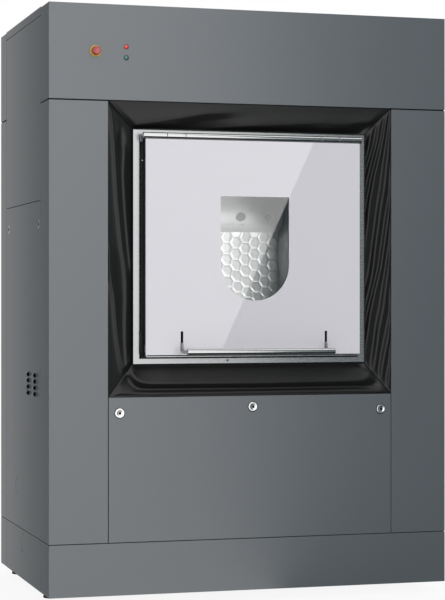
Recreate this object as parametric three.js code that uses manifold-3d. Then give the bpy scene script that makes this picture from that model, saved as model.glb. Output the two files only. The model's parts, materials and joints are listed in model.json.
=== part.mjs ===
// Barrier washer: a soft-mounted washer-extractor that stands in a wall between a soiled and a clean room.
// Laundry goes in at the front door and comes out at the rear door.
// Millimetres. +X is to the right seen from the front, +Y to the rear, +Z up, and the floor is at zero.

import * as THREE from 'three';
import { mergeVertices } from 'three/addons/utils/BufferGeometryUtils.js';
import Module from 'manifold-3d';

const wasm = await Module();
wasm.setup();

// Whole machine
const machineWidth = 1300;
const machineDepth = 843;
const cabinetHeight = 1818;
const footHeight = 34;

// Sheet steel and gaps
const sheet = 2;
const hem = 20;
const seam = 2;
const fasciaSeam = 4;
const contactGap = 0.3;
const cutOverrun = 5;
const weld = 0.0005;

// Cabinet faces
const columnFace = 184.5;
const frontWrap = 130;
const rearWrap = 105;
const plinthHeight = 161;
const fasciaHeight = 294;
const sideSplitHeight = 1219.7;
const coverProud = 3.5;
const coverBand = 26.5;

// Carcass inside the panels
const ringHeight = 60;
const ringFloor = 50;
const ringRailX = 80;
const ringRailY = 120;
const postSize = 40;
const railHeight = 40;
const lipThickness = 3;
const lipReach = 24;
const sideLipReach = 48;
const lipRailSetback = 13.5;
const coverPadSize = 60;
const coverPadPitch = 480;

// Feet
const footPadRadius = 25;
const footPadHeight = 8;
const footConeRadius = 16;
const footConeHeight = 9;
const footStemRadius = 8;
const footNutRadius = 14;
const footNutHeight = 9;
const footStemGrip = 30;
const frontFootSetback = 240;
const rearFootSetback = 46.5;
const footInset = 55;

// Louvres and knock-outs
const louvreLength = 62;
const louvreSlot = 7;
const louvrePitch = 19.7;
const louvreRows = 4;
const louvreTopHeight = 670;
const louvreColumnDepths = [245, 356];
const knockoutRadius = 32;
const knockoutSlit = 2;
const sideKnockoutDepth = 531;
const sideKnockoutHeight = 294;
const plinthKnockoutDepth = 432;
const plinthKnockoutHeight = 118;

// Quarter-turn locks
const lockRadius = 15;
const lockProud = 4;
const lockSocket = 8;
const lockSocketDepth = 3;
const lockShaftRadius = 7;
const lockCamDepth = 24.5;
const lockCamThickness = 3;
const lockCamLength = 28;
const lockCamWidth = 14;
const lockNutRadius = 18;
const lockNutHeight = 4;
const lockBevel = 1;
const lockOffsetX = 429;
const outerLockDrop = 48;
const middleLockDrop = 34;
const sideLockDrop = 72.7;
const sideLockDepths = [164, 689];

// Emergency stop, lamps and display
const stopOffsetX = 504.6;
const stopDrop = 145.4;
const stopCollarRadius = 18;
const stopCollarThickness = 3;
const stopBarrelRadius = 11;
const stopBarrelLength = 45;
const stopStemRadius = 5;
const stopStemLength = 28;
const stopCapRadius = 14;
const stopCapNeckRadius = 9;
const stopCapThickness = 11;
const stopCapRimShares = [0.5, 0.75];
const stopTravel = 6;
const lampOffsetX = 408;
const redLampDrop = 129.4;
const greenLampDrop = 163.2;
const lampRadius = 7;
const lampBezelRadius = 8.5;
const lampBezelThickness = 1.5;
const lampProud = 4;
const lampBarrelRadius = 6;
const lampBarrelLength = 30;
const displayWidth = 190;
const displayHeight = 130;
const displayThickness = 28;
const displayProud = 4;
const displayFlange = 8;
const displayOffsetX = -300;
const displayDrop = 153;

// Drum
const drumRadius = 340;
const drumHalfLength = 330;
const drumWall = 4;
const drumHubRadius = 110;
const drumHubLength = 14;
const shaftRadius = 35;
const leftShaftEnd = 440;
const rightShaftEnd = 505;
const portHalfLength = 250;
const portHalfHeight = 235;
const lifterHeight = 50;
const lifterFootWidth = 120;
const lifterTopWidth = 34;
const lifterAngles = [-84, 84, 156];
const lifterEndGap = 12;

// Drum flaps
const flapHingeRadius = 330;
const flapHingeAngle = 41.5;
const flapBarrelRadius = 6;
const flapPinRadius = 3;
const flapPinLength = 8;
const flapEndGap = 4;
const flapThickness = 3;
const flapSetIn = 2;
const flapMeetingAngle = 0.4;
const flapOpenAngle = 118;
const flapLatchWidth = 120;
const flapLatchHeight = 14;
const flapLatchThickness = 10;
const earWidth = 12;
const earSpan = 24;
const earDepth = 20;

// Tub
const tubRadius = 375;
const tubWall = 3;
const tubHalfLength = 410;
const tubEndWall = 6;
const bearingRadius = 90;
const bearingLength = 30;
const throatWall = 3;
const throatHalfWidth = 372;
const throatHalfHeight = 354.5;
const gussetOffsetX = 380;
const gussetThickness = 12;
const gussetInnerY = 225;
const gussetOuterY = 340;
const gussetTopDrop = 17.6;
const gussetShoulderDrop = 187.5;
const gussetShoulderInset = 12;
const strutSeatDrop = 467.6;
const strutOffsetY = 308;
const strutSeatSize = 66;
const strutSeatThickness = 12;

// Suspension struts
const strutRodRadius = 9;
const strutTubeRadius = 17;
const springRadius = 30;
const springWire = 9;
const springTurns = 4;
const springSeatRadius = 32;
const springSeatThickness = 5;
const springFloorShare = 0.1322;
const springLengthShare = 0.6234;
const strutPadRadius = 24;
const strutPadHeight = 12;

// Drive
const drumPulleyRadius = 250;
const motorPulleyRadius = 55;
const pulleyWidth = 36;
const pulleyRim = 12;
const pulleyWeb = 8;
const pulleyOffsetX = 455;
const pulleyHubRadius = 55;
const beltWidth = 30;
const beltThickness = 6;
const motorDrop = 517.6;
const motorRadius = 105;
const motorLeftEnd = 150;
const motorRightEnd = 430;
const motorShaftRadius = 14;
const motorShaftGrip = 60;
const motorMountWidth = 130;
const motorMountThickness = 12;
const motorMountInset = 40;
const motorBoxWidth = 90;
const motorBoxHeight = 60;
const motorBoxLength = 110;

// Drain valve
const drainOffsetX = -200;
const drainFlangeRadius = 62;
const drainFlangeThickness = 10;
const drainSaddleRise = 20;
const drainBodyRadius = 44;
const drainBodyLength = 120;
const drainBoreRadius = 36;
const drainOutletRadius = 38;
const drainOutletLength = 110;
const drainOutletWall = 4;

// Door frame
const frameWidth = 763;
const frameHeight = 727.9;
const frameRim = 20.5;
const frameDepth = 20;
const frameSetback = 24;
const frameFlange = 3;
const seatOuterInset = 36.5;
const seatWidth = 15;
const frameHoleRadius = 3.5;
const frameHoleOffsetX = -76;

// Door leaf
const leafWidth = 701;
const hingeDrop = 20.9;
const hingeForward = 35;
const hingeRadius = 9.5;
const hingeHalfLength = 357.5;
const hingePinRadius = 5;
const innerKnuckleX = 223;
const outerKnuckleX = 282;
const knuckleGap = 1;
const hingeArm = 7;
const leafDrop = 10.2;
const glassHeight = 667.6;
const glassThickness = 6;
const glassForward = 7;
const trayDepth = 19;
const trayHem = 8;
const trayWall = 2;
const traySideInset = 3;
const portholeWidth = 270;
const portholeTopBelow = 150;
const portholeFloorBelow = 530;
const drainSlotLength = 26;
const drainSlotHeight = 3;
const drainSlotPitch = 105;
const drainSlotCount = 6;

// Door handle
const handleBarRadius = 10;
const handleBarHalfLength = 239;
const handleArmX = 236;
const handleArmThickness = 5;
const handleArmHeight = 13;
const handleReach = 76;
const handleSlotWidth = 7;
const handleSlotHeight = 62;
const handleSlotFloor = 11;
const handleBarHeight = 10;
const handleShaftRadius = 4;
const handleShaftHeight = 20;
const handleShaftSetback = 8;
const handleShaftHalfLength = 300;
const handleCamRadius = 6;
const handleCamLength = 10;
const bushingWidth = 8;
const bushingX = 270;
const bushingHeight = 20;

// Bellows
const bellowsBelow = 100.65;
const bellowsAbove = 86.45;
const bellowsOuterSetback = 9;
const bellowsInnerSetback = 30;
const bellowsThickness = 4;
const bellowsColumns = 10;
const bellowsRows = 6;
const bellowsSag = 9;
const bellowsCrease = 6;
const bellowsRoll = 7;
const bellowsCreasesPerSide = 4;
const bellowsRollsBelow = 2;

// How finely round shapes are divided
const roundSteps = 32;
const pulleySteps = 28;
const mediumSteps = 16;
const lockSteps = 12;
const smallSteps = 10;
const hiddenSteps = 8;

// Levels and planes that follow from the sizes
const halfWidth = machineWidth / 2;
const halfDepth = machineDepth / 2;
const plinthTop = footHeight + plinthHeight;
const cabinetTop = footHeight + cabinetHeight;
const fasciaFloor = cabinetTop - fasciaHeight;
const openingFloor = fasciaFloor - bellowsAbove - frameHeight - bellowsBelow;
const drumAxisHeight = openingFloor + bellowsBelow + frameHeight / 2;
const openingHalf = halfWidth - columnFace;
const sideSplit = footHeight + sideSplitHeight;
const coverTop = cabinetTop + coverProud;
const coverFloor = coverTop - coverBand;
const carcassHalfWidth = halfWidth - hem - contactGap;
const carcassHalfDepth = halfDepth - hem - contactGap;
const ringTop = ringFloor + ringHeight;
const frameFace = halfDepth - frameSetback;
const frameBack = frameFace - frameDepth;
const throatFront = frameBack - contactGap;
const leafBack = frameFace + hingeForward - (trayDepth + glassThickness - glassForward);

// Finishes
function finish(color, roughness, metalness) {
  return () => new THREE.MeshStandardMaterial({ color, roughness, metalness });
}

const anthracite = finish(0x565c61, 0.5, 0.2);
const stainless = finish(0xb9bcc0, 0.3, 0.9);
const galvanised = finish(0x8d9296, 0.55, 0.7);
const castGrey = finish(0x5a5e62, 0.6, 0.4);
const blackRubber = finish(0x151617, 0.75, 0);
const blackPlastic = finish(0x1c1d1f, 0.5, 0);
const paleGlass = finish(0xd9d9de, 0.08, 0);
const yellowPlastic = finish(0xe8b62c, 0.4, 0);
const redPlastic = finish(0xc2322c, 0.35, 0);
const redLens = finish(0xd8453c, 0.2, 0);
const greenLens = finish(0x2f9c7a, 0.2, 0);
const screenBlack = finish(0x101214, 0.15, 0);

// Turns a closed geometry into a solid that can be joined and cut, with its faces pointing out.
function solid(geometry) {
  const bare = geometry.index ? geometry.toNonIndexed() : geometry.clone();
  bare.deleteAttribute('normal');
  bare.deleteAttribute('uv');
  const welded = mergeVertices(bare, weld);
  const points = welded.attributes.position.array;
  const corners = welded.index.array;
  const kept = [];
  let volume = 0;
  const [a, b, c] = [new THREE.Vector3(), new THREE.Vector3(), new THREE.Vector3()];
  for (let i = 0; i < corners.length; i += 3) {
    const [p, q, r] = [corners[i], corners[i + 1], corners[i + 2]];
    if (p === q || q === r || r === p) continue;
    kept.push(p, q, r);
    a.fromArray(points, 3 * p);
    b.fromArray(points, 3 * q);
    c.fromArray(points, 3 * r);
    volume += a.dot(b.cross(c));
  }
  if (volume < 0) kept.reverse();
  const vertProperties = new Float32Array(points);
  const triVerts = new Uint32Array(kept);
  return new wasm.Manifold(new wasm.Mesh({ numProp: 3, vertProperties, triVerts }));
}

// Turns a solid back into a mesh geometry.
function geometryOf(body) {
  const mesh = body.getMesh();
  const geometry = new THREE.BufferGeometry();
  geometry.setAttribute('position', new THREE.BufferAttribute(new Float32Array(mesh.vertProperties), 3));
  geometry.setIndex(new THREE.BufferAttribute(new Uint32Array(mesh.triVerts), 1));
  geometry.computeVertexNormals();
  return geometry;
}

// Adds one named piece to a group.
function piece(group, name, body, material) {
  const mesh = new THREE.Mesh(geometryOf(body), material());
  mesh.name = name;
  group.add(mesh);
  return mesh;
}

function joined(bodies) {
  return bodies.reduce((whole, body) => whole.add(body));
}

// A block between two values on each axis.
function block(x0, x1, y0, y1, z0, z1) {
  const geometry = new THREE.BoxGeometry(Math.abs(x1 - x0), Math.abs(y1 - y0), Math.abs(z1 - z0));
  geometry.translate((x0 + x1) / 2, (y0 + y1) / 2, (z0 + z1) / 2);
  return solid(geometry);
}

// A block with walls, left open on the sides named, such as '+y'.
function trough(x0, x1, y0, y1, z0, z1, wall, open) {
  const inset = (side) => (open.includes(side) ? -cutOverrun : wall);
  const room = block(
    x0 + inset('-x'), x1 - inset('+x'),
    y0 + inset('-y'), y1 - inset('+y'),
    z0 + inset('-z'), z1 - inset('+z'),
  );
  return block(x0, x1, y0, y1, z0, z1).subtract(room);
}

// A solid turned about one axis from pairs of radius and position along that axis. A lathe turns about Y.
function turned(profile, axis, steps) {
  const points = profile.map(([radius, along]) => new THREE.Vector2(radius, along));
  const geometry = new THREE.LatheGeometry(points, steps);
  if (axis === 'x') geometry.rotateZ(-Math.PI / 2);
  if (axis === 'z') geometry.rotateX(Math.PI / 2);
  return solid(geometry);
}

// A round bar along an axis, from one place on it to another, whose middle line passes through at.
function rod(radius, from, to, axis, at, steps) {
  const body = turned([[0, from], [radius, from], [radius, to], [0, to]], axis, steps);
  return body.translate(at);
}

// The corner radius of a faceted bore whose flats still clear the round bar that turns in it.
function boreRadius(radius, steps) {
  return (radius + contactGap) / Math.cos(Math.PI / steps);
}

// An outline in the plane across X, given as pairs of Y and Z, pushed out along X.
function plate(outline, x0, x1) {
  const shape = new THREE.Shape(outline.map(([y, z]) => new THREE.Vector2(y, z)));
  const geometry = new THREE.ExtrudeGeometry(shape, { depth: x1 - x0, bevelEnabled: false });
  geometry.rotateZ(Math.PI / 2);
  geometry.rotateY(Math.PI / 2);
  geometry.translate(x0, 0, 0);
  return solid(geometry);
}

// Points on an arc about a centre, angles in degrees.
function arc(radius, from, to, steps, centre = [0, 0]) {
  return Array.from({ length: steps + 1 }, (_, i) => {
    const angle = THREE.MathUtils.degToRad(from + ((to - from) * i) / steps);
    return [centre[0] + radius * Math.cos(angle), centre[1] + radius * Math.sin(angle)];
  });
}

// One end of the cabinet: a sheet that wraps both corners, with folded edges where it is named.
function cornerWrap(z0, z1, wrap, lid, folds) {
  const back = -halfDepth + wrap;
  const open = lid ? '+y-z' : '+y-z+z';
  const walls = trough(-halfWidth, halfWidth, -halfDepth, back, z0, z1, sheet, open);
  const fold = (floor) => block(-halfWidth, halfWidth, -halfDepth, back, floor, floor + sheet)
    .subtract(block(-halfWidth + hem, halfWidth - hem, -halfDepth + hem, back + cutOverrun,
      floor - cutOverrun, floor + sheet + cutOverrun));
  return joined([walls, ...folds.map(fold)]);
}

// A corner column: a folded sheet with its face, its side and an inward fold at each edge.
function column(side, wrap) {
  const outline = [
    [0, 0], [columnFace, 0], [columnFace, hem], [columnFace - sheet, hem], [columnFace - sheet, sheet],
    [sheet, sheet], [sheet, wrap - sheet], [hem, wrap - sheet], [hem, wrap], [0, wrap],
  ];
  const points = outline.map(([x, y]) => new THREE.Vector2(side * (halfWidth - x), -halfDepth + y));
  const floor = plinthTop + seam;
  const height = fasciaFloor - fasciaSeam - floor;
  const geometry = new THREE.ExtrudeGeometry(new THREE.Shape(points), { depth: height, bevelEnabled: false });
  geometry.translate(0, 0, floor);
  return solid(geometry);
}

// A quarter-turn lock along -Y: shaft, nut behind the sheet, socket head and a cam that points up.
function lock(proud) {
  const nutTop = -sheet - contactGap;
  const nutFloor = nutTop - lockNutHeight;
  const headFloor = proud > 0 ? 0 : nutTop / 2;
  const rimTop = proud - lockBevel;
  const body = turned([
    [0, -lockCamDepth - lockCamThickness], [lockShaftRadius, -lockCamDepth - lockCamThickness],
    [lockShaftRadius, nutFloor], [lockNutRadius, nutFloor], [lockNutRadius, nutTop],
    [lockShaftRadius, nutTop], [lockShaftRadius, headFloor], [lockRadius, headFloor],
    [lockRadius, rimTop], [lockRadius - lockBevel, proud], [0, proud],
  ], 'y', lockSteps).rotate([0, 0, 180]);
  const cam = block(-lockCamWidth / 2, lockCamWidth / 2, lockCamDepth, lockCamDepth + lockCamThickness,
    -lockShaftRadius, lockCamLength);
  const socket = block(-lockSocket / 2, lockSocket / 2, -proud - cutOverrun, -proud + lockSocketDepth,
    -lockSocket / 2, lockSocket / 2).rotate([0, 45, 0]);
  return body.add(cam).subtract(socket);
}

// The hole that a lock passes through, wide enough for its head where the head is flush.
function lockHole(proud) {
  const radius = boreRadius(proud > 0 ? lockShaftRadius : lockRadius, mediumSteps);
  return rod(radius, -cutOverrun, sheet + cutOverrun, 'y', [0, 0, 0], mediumSteps);
}

// A slit in a left-hand panel that runs half round, open towards the front.
function knockout(depthFromFront, height) {
  const ring = [
    ...arc(knockoutRadius, -90, 90, mediumSteps),
    ...arc(knockoutRadius - knockoutSlit, 90, -90, mediumSteps),
  ];
  return plate(ring, -halfWidth - cutOverrun, -halfWidth + sheet + cutOverrun)
    .translate([0, -halfDepth + depthFromFront, footHeight + height]);
}

const washer = new THREE.Group();

// Everything at one end of the machine that is fixed to the cabinet, modelled for the front end.
function cabinetEnd(end, wrap) {
  const group = new THREE.Group();
  const leftSide = end === 'front' ? -1 : 1;
  const locks = [
    ['left', leftSide * lockOffsetX, outerLockDrop],
    ['right', -leftSide * lockOffsetX, outerLockDrop],
  ];
  if (end === 'front') locks.push(['middle', 0, middleLockDrop]);

  const stopAt = [-stopOffsetX, -halfDepth, cabinetTop - stopDrop];
  const stopBore = boreRadius(stopBarrelRadius, mediumSteps);
  const stopHole = rod(stopBore, -cutOverrun, sheet + cutOverrun, 'y', stopAt, mediumSteps);
  let fascia = cornerWrap(fasciaFloor, cabinetTop, wrap, true, [fasciaFloor]).subtract(stopHole);
  if (end === 'front') {
    const lamps = [['red', redLampDrop, redLens], ['green', greenLampDrop, greenLens]];
    for (const [name, drop, lens] of lamps) {
      const at = [-lampOffsetX, -halfDepth, cabinetTop - drop];
      const lampBore = boreRadius(lampBarrelRadius, smallSteps);
      const hole = rod(lampBore, -cutOverrun, sheet + cutOverrun, 'y', at, smallSteps);
      fascia = fascia.subtract(hole);
      const bezelTop = lampBezelThickness + contactGap;
      const dome = [[lampBezelRadius, contactGap], [lampBezelRadius, bezelTop],
        [lampRadius, bezelTop], [lampRadius * Math.SQRT1_2, lampProud], [0, lampProud]];
      const lamp = turned([[0, -lampBarrelLength], [lampBarrelRadius, -lampBarrelLength],
        [lampBarrelRadius, contactGap], ...dome], 'y', smallSteps).rotate([0, 0, 180]).translate(at);
      piece(group, `lamp_${name}`, lamp, lens);
    }
  } else {
    const [x, z] = [displayOffsetX, cabinetTop - displayDrop];
    const [w, h] = [displayWidth / 2, displayHeight / 2];
    const back = -halfDepth + displayThickness;
    const slack = displayFlange - contactGap;
    fascia = fascia.subtract(block(x - w + slack, x + w - slack, -halfDepth - cutOverrun,
      -halfDepth + sheet + cutOverrun, z - h + slack, z + h - slack));
    const bezel = block(x - w, x + w, -halfDepth - displayProud, -halfDepth - contactGap, z - h, z + h);
    const body = block(x - w + displayFlange, x + w - displayFlange, -halfDepth - displayProud, back,
      z - h + displayFlange, z + h - displayFlange);
    piece(group, 'touch_display', bezel.add(body), screenBlack);
  }
  piece(group, `fascia_${end}`, fascia, anthracite);

  const stemBore = boreRadius(stopStemRadius, mediumSteps);
  const collar = turned([
    [stemBore, -stopBarrelLength], [stopBarrelRadius, -stopBarrelLength],
    [stopBarrelRadius, contactGap], [stopCollarRadius, contactGap], [stopCollarRadius, stopCollarThickness],
    [stemBore, stopCollarThickness], [stemBore, -stopBarrelLength],
  ], 'y', mediumSteps).rotate([0, 0, 180]).translate(stopAt);
  piece(group, `estop_collar_${end}`, collar, yellowPlastic);
  const capFloor = stopCollarThickness + stopTravel + contactGap;
  const [rimLow, rimHigh] = stopCapRimShares;
  const cap = turned([
    [0, -stopStemLength], [stopStemRadius, -stopStemLength], [stopStemRadius, capFloor],
    [stopCapNeckRadius, capFloor], [stopCapRadius, capFloor + stopCapThickness * rimLow],
    [stopCapRadius, capFloor + stopCapThickness * rimHigh], [stopCapNeckRadius, capFloor + stopCapThickness],
    [0, capFloor + stopCapThickness],
  ], 'y', mediumSteps).rotate([0, 0, 180]).translate(stopAt);
  piece(group, `estop_button_${end}`, cap, redPlastic);

  const plinth = cornerWrap(footHeight, plinthTop, wrap, false, [plinthTop - sheet]);
  piece(group, `plinth_${end}`, plinth, anthracite);
  piece(group, `column_${end}_left`, column(leftSide, wrap), anthracite);
  piece(group, `column_${end}_right`, column(-leftSide, wrap), anthracite);

  const panelHalf = openingHalf - seam;
  let panel = trough(-panelHalf, panelHalf, -halfDepth, -halfDepth + hem, plinthTop + seam, openingFloor,
    sheet, '+y');
  for (const [name, x, drop] of locks) {
    const at = [x, -halfDepth, openingFloor - drop];
    panel = panel.subtract(lockHole(lockProud).translate(at));
    const body = lock(lockProud).translate([0, -contactGap, 0]).translate(at);
    piece(group, `lock_${end}_${name}`, body, stainless);
  }
  piece(group, `service_panel_${end}`, panel, anthracite);
  piece(group, `bellows_${end}`, bellows(), blackRubber);
  return group;
}

// The rubberised cloth between the cabinet's opening and the door frame: a mitred surround with soft folds.
function bellows() {
  const centre = drumAxisHeight;
  const outer = {
    x: openingHalf - contactGap,
    low: openingFloor + contactGap - centre,
    high: fasciaFloor - contactGap - centre,
    y: -halfDepth + bellowsOuterSetback,
  };
  const inner = {
    x: frameWidth / 2 + contactGap,
    low: -frameHeight / 2 - contactGap,
    high: frameHeight / 2 + contactGap,
    y: -halfDepth + bellowsInnerSetback,
  };
  const cornersOf = (edge) => [
    [-edge.x, edge.low], [edge.x, edge.low], [edge.x, edge.high], [-edge.x, edge.high],
  ];
  const [outerCorners, innerCorners] = [cornersOf(outer), cornersOf(inner)];
  const fold = (side, along, across) => {
    const middle = Math.sin(Math.PI * across);
    const ends = Math.sin(Math.PI * along);
    if (side === 0) return -bellowsRoll * ends * Math.sin(2 * bellowsRollsBelow * Math.PI * across) * middle;
    if (side === 2) return bellowsSag * ends * middle;
    const lean = along * bellowsCreasesPerSide + across;
    return middle * ends * (bellowsSag / 2 + bellowsCrease * Math.sin(Math.PI * lean));
  };
  const columns = bellowsColumns * 4;
  const vertices = [];
  for (const depth of [0, bellowsThickness]) {
    for (let row = 0; row <= bellowsRows; row += 1) {
      const across = row / bellowsRows;
      for (let column = 0; column < columns; column += 1) {
        const side = Math.floor(column / bellowsColumns);
        const along = (column % bellowsColumns) / bellowsColumns;
        const next = (side + 1) % 4;
        const mix = (k) => {
          const o = THREE.MathUtils.lerp(outerCorners[side][k], outerCorners[next][k], along);
          const i = THREE.MathUtils.lerp(innerCorners[side][k], innerCorners[next][k], along);
          return THREE.MathUtils.lerp(o, i, across);
        };
        const y = THREE.MathUtils.lerp(outer.y, inner.y, across) + fold(side, along, across) + depth;
        vertices.push(mix(0), y, centre + mix(1));
      }
    }
  }
  const at = (layer, row, column) => (layer * (bellowsRows + 1) + row) * columns + (column % columns);
  const faces = [];
  const quad = (a, b, c, d) => faces.push(a, b, c, a, c, d);
  for (let column = 0; column < columns; column += 1) {
    for (let row = 0; row < bellowsRows; row += 1) {
      quad(at(0, row, column), at(0, row, column + 1), at(0, row + 1, column + 1), at(0, row + 1, column));
      quad(at(1, row, column), at(1, row + 1, column), at(1, row + 1, column + 1), at(1, row, column + 1));
    }
    quad(at(0, 0, column), at(1, 0, column), at(1, 0, column + 1), at(0, 0, column + 1));
    const last = bellowsRows;
    quad(at(0, last, column), at(0, last, column + 1), at(1, last, column + 1), at(1, last, column));
  }
  const geometry = new THREE.BufferGeometry();
  geometry.setAttribute('position', new THREE.Float32BufferAttribute(vertices, 3));
  geometry.setIndex(faces);
  return solid(geometry);
}

const frontEnd = cabinetEnd('front', frontWrap);
const rearEnd = cabinetEnd('rear', rearWrap);
rearEnd.rotation.z = Math.PI;
washer.add(frontEnd, rearEnd);

// The carcass: a base ring, four posts, rails behind the panels' seams and pads under the top cover.
function carcass() {
  const [x, y] = [carcassHalfWidth, carcassHalfDepth];
  const postTop = cabinetTop - sheet - contactGap;
  const sideRailTop = coverFloor - contactGap;
  const lipTop = openingFloor - sheet - contactGap;
  const lipFloor = lipTop - lipReach;
  const bars = [];
  for (const sx of [-1, 1]) {
    bars.push(block(sx * x, sx * (x - ringRailX), -y, y, ringFloor, ringTop));
    bars.push(block(sx * x, sx * (x - postSize), -y, y, sideSplit - railHeight / 2,
      sideSplit + railHeight / 2));
    bars.push(block(sx * x, sx * (x - postSize), -y, y, sideRailTop - railHeight, sideRailTop));
    bars.push(block(sx * x, sx * (x - lipThickness), -y, y, sideSplit - sheet - sideLipReach, sideSplit));
    for (const sy of [-1, 1]) {
      bars.push(block(sx * x, sx * (x - postSize), sy * y, sy * (y - postSize), ringFloor, postTop));
      const padY = (sy * coverPadPitch) / 2;
      bars.push(block(sx * x, sx * (x - postSize), padY - coverPadSize / 2, padY + coverPadSize / 2,
        sideRailTop - railHeight, coverTop - sheet - contactGap));
    }
  }
  for (const sy of [-1, 1]) {
    bars.push(block(-x, x, sy * y, sy * (y - ringRailY), ringFloor, ringTop));
    bars.push(block(-x, x, sy * y, sy * (y - postSize), fasciaFloor, fasciaFloor + railHeight));
    const railFront = y - lipRailSetback;
    bars.push(block(-x, x, sy * railFront, sy * (railFront - postSize), lipTop - railHeight, lipTop));
    bars.push(block(-x, x, sy * y, sy * (railFront - lipThickness), lipTop - sheet, lipTop));
    bars.push(block(-x, x, sy * y, sy * (y - lipThickness), lipFloor, lipTop));
  }
  return bars;
}

// One foot: pad, cone, lock nut and the stem that screws into the base ring.
function foot() {
  const coneTop = footPadHeight + footConeHeight;
  const nutTop = ringFloor - contactGap;
  const body = turned([
    [0, 0], [footPadRadius, 0], [footPadRadius, footPadHeight], [footConeRadius, coneTop],
    [footStemRadius, coneTop], [footStemRadius, ringFloor + footStemGrip], [0, ringFloor + footStemGrip],
  ], 'z', smallSteps);
  return body.add(rod(footNutRadius, nutTop - footNutHeight, nutTop, 'z', [0, 0, 0], 6));
}

function baseFrame() {
  const footPlaces = [
    ['front_left', -1, -halfDepth + frontFootSetback], ['front_right', 1, -halfDepth + frontFootSetback],
    ['rear_left', -1, halfDepth - rearFootSetback], ['rear_right', 1, halfDepth - rearFootSetback],
  ];
  let frame = joined(carcass());
  for (const [name, sx, y] of footPlaces) {
    const at = [sx * (halfWidth - footInset), y, 0];
    const bore = rod(boreRadius(footStemRadius, smallSteps), ringFloor - cutOverrun,
      ringFloor + footStemGrip + contactGap, 'z', at, smallSteps);
    frame = frame.subtract(bore);
    piece(washer, `foot_${name}`, foot(), blackRubber).position.set(...at);
  }
  piece(washer, 'base_frame', frame, galvanised);
}

baseFrame();

// Side panels, side plinths and the top cover.
function sides() {
  const front = -halfDepth + frontWrap + seam;
  const rear = halfDepth - rearWrap - seam;
  const left = (z0, z1) => trough(-halfWidth, -halfWidth + hem, front, rear, z0, z1, sheet, '+x');
  const right = (z0, z1) => trough(halfWidth - hem, halfWidth, front, rear, z0, z1, sheet, '-x');
  const panelFloor = plinthTop + seam;
  const panelTop = coverFloor - seam;

  let lower = left(panelFloor, sideSplit - seam / 2);
  lower = lower.subtract(knockout(sideKnockoutDepth, sideKnockoutHeight));
  for (const depthFromFront of louvreColumnDepths) {
    for (let row = 0; row < louvreRows; row += 1) {
      const y = -halfDepth + depthFromFront;
      const z = footHeight + louvreTopHeight - row * louvrePitch;
      lower = lower.subtract(block(-halfWidth - cutOverrun, -halfWidth + sheet + cutOverrun,
        y - louvreLength / 2, y + louvreLength / 2, z - louvreSlot / 2, z + louvreSlot / 2));
    }
  }
  sideLockDepths.forEach((depthFromFront, i) => {
    const at = [-halfWidth, -halfDepth + depthFromFront, sideSplit - sideLockDrop];
    lower = lower.subtract(lockHole(0).rotate([0, 0, -90]).translate(at));
    const name = ['lock_side_front', 'lock_side_rear'][i];
    piece(washer, name, lock(0).rotate([0, 0, -90]).translate(at), stainless);
  });
  piece(washer, 'side_panel_left_lower', lower, anthracite);
  piece(washer, 'side_panel_left_upper', left(sideSplit + seam / 2, panelTop), anthracite);
  piece(washer, 'side_panel_right', right(panelFloor, panelTop), anthracite);
  const plinthSlit = knockout(plinthKnockoutDepth, plinthKnockoutHeight);
  const leftPlinth = left(footHeight, plinthTop).subtract(plinthSlit);
  piece(washer, 'plinth_left', leftPlinth, anthracite);
  piece(washer, 'plinth_right', right(footHeight, plinthTop), anthracite);
  const cover = trough(-halfWidth, halfWidth, front, rear, coverFloor, coverTop, sheet, '-z');
  piece(washer, 'top_cover', cover, anthracite);
}

sides();

// Everything that hangs on the struts, modelled about the drum's axis.
const tubGroup = new THREE.Group();
tubGroup.position.z = drumAxisHeight;
washer.add(tubGroup);

// The tub: a cylinder with a square throat to each door, bearing housings and gussets down to the struts.
function tub() {
  const inner = tubHalfLength - tubEndWall;
  const hub = tubHalfLength + bearingLength;
  const shell = rod(tubRadius, -tubHalfLength, tubHalfLength, 'x', [0, 0, 0], roundSteps);
  const housings = rod(bearingRadius, -hub, hub, 'x', [0, 0, 0], mediumSteps);
  const throat = block(-throatHalfWidth, throatHalfWidth, -throatFront, throatFront,
    -throatHalfHeight, throatHalfHeight);
  const seatZ = -strutSeatDrop;
  const gussets = [];
  for (const sx of [-1, 1]) {
    for (const sy of [-1, 1]) {
      const x = sx * gussetOffsetX;
      const outline = [
        [sy * gussetInnerY, seatZ], [sy * gussetOuterY, seatZ],
        [sy * gussetOuterY, -gussetTopDrop - gussetShoulderDrop],
        [sy * (gussetOuterY - gussetShoulderInset), -gussetTopDrop],
        [sy * gussetInnerY, -gussetTopDrop],
      ];
      gussets.push(plate(outline, x - gussetThickness / 2, x + gussetThickness / 2));
      const y = sy * strutOffsetY;
      gussets.push(block(x - strutSeatSize / 2, x + strutSeatSize / 2,
        y - strutSeatSize / 2, y + strutSeatSize / 2, seatZ, seatZ + strutSeatThickness));
    }
  }
  const room = rod(tubRadius - tubWall, -inner, inner, 'x', [0, 0, 0], roundSteps);
  const through = throatFront + cutOverrun;
  const throatRoom = block(-throatHalfWidth + throatWall, throatHalfWidth - throatWall, -through, through,
    -throatHalfHeight + throatWall, throatHalfHeight - throatWall);
  const boreEnd = hub + cutOverrun;
  const bore = rod(boreRadius(shaftRadius, mediumSteps), -boreEnd, boreEnd, 'x', [0, 0, 0], mediumSteps);
  const drainBore = rod(drainBoreRadius, -tubRadius - cutOverrun, 0, 'z', [drainOffsetX, 0, 0], smallSteps);
  const body = joined([shell, housings, throat, ...gussets]);
  return body.subtract(room).subtract(throatRoom).subtract(bore).subtract(drainBore);
}

piece(tubGroup, 'tub_shell', tub(), stainless);

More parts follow.
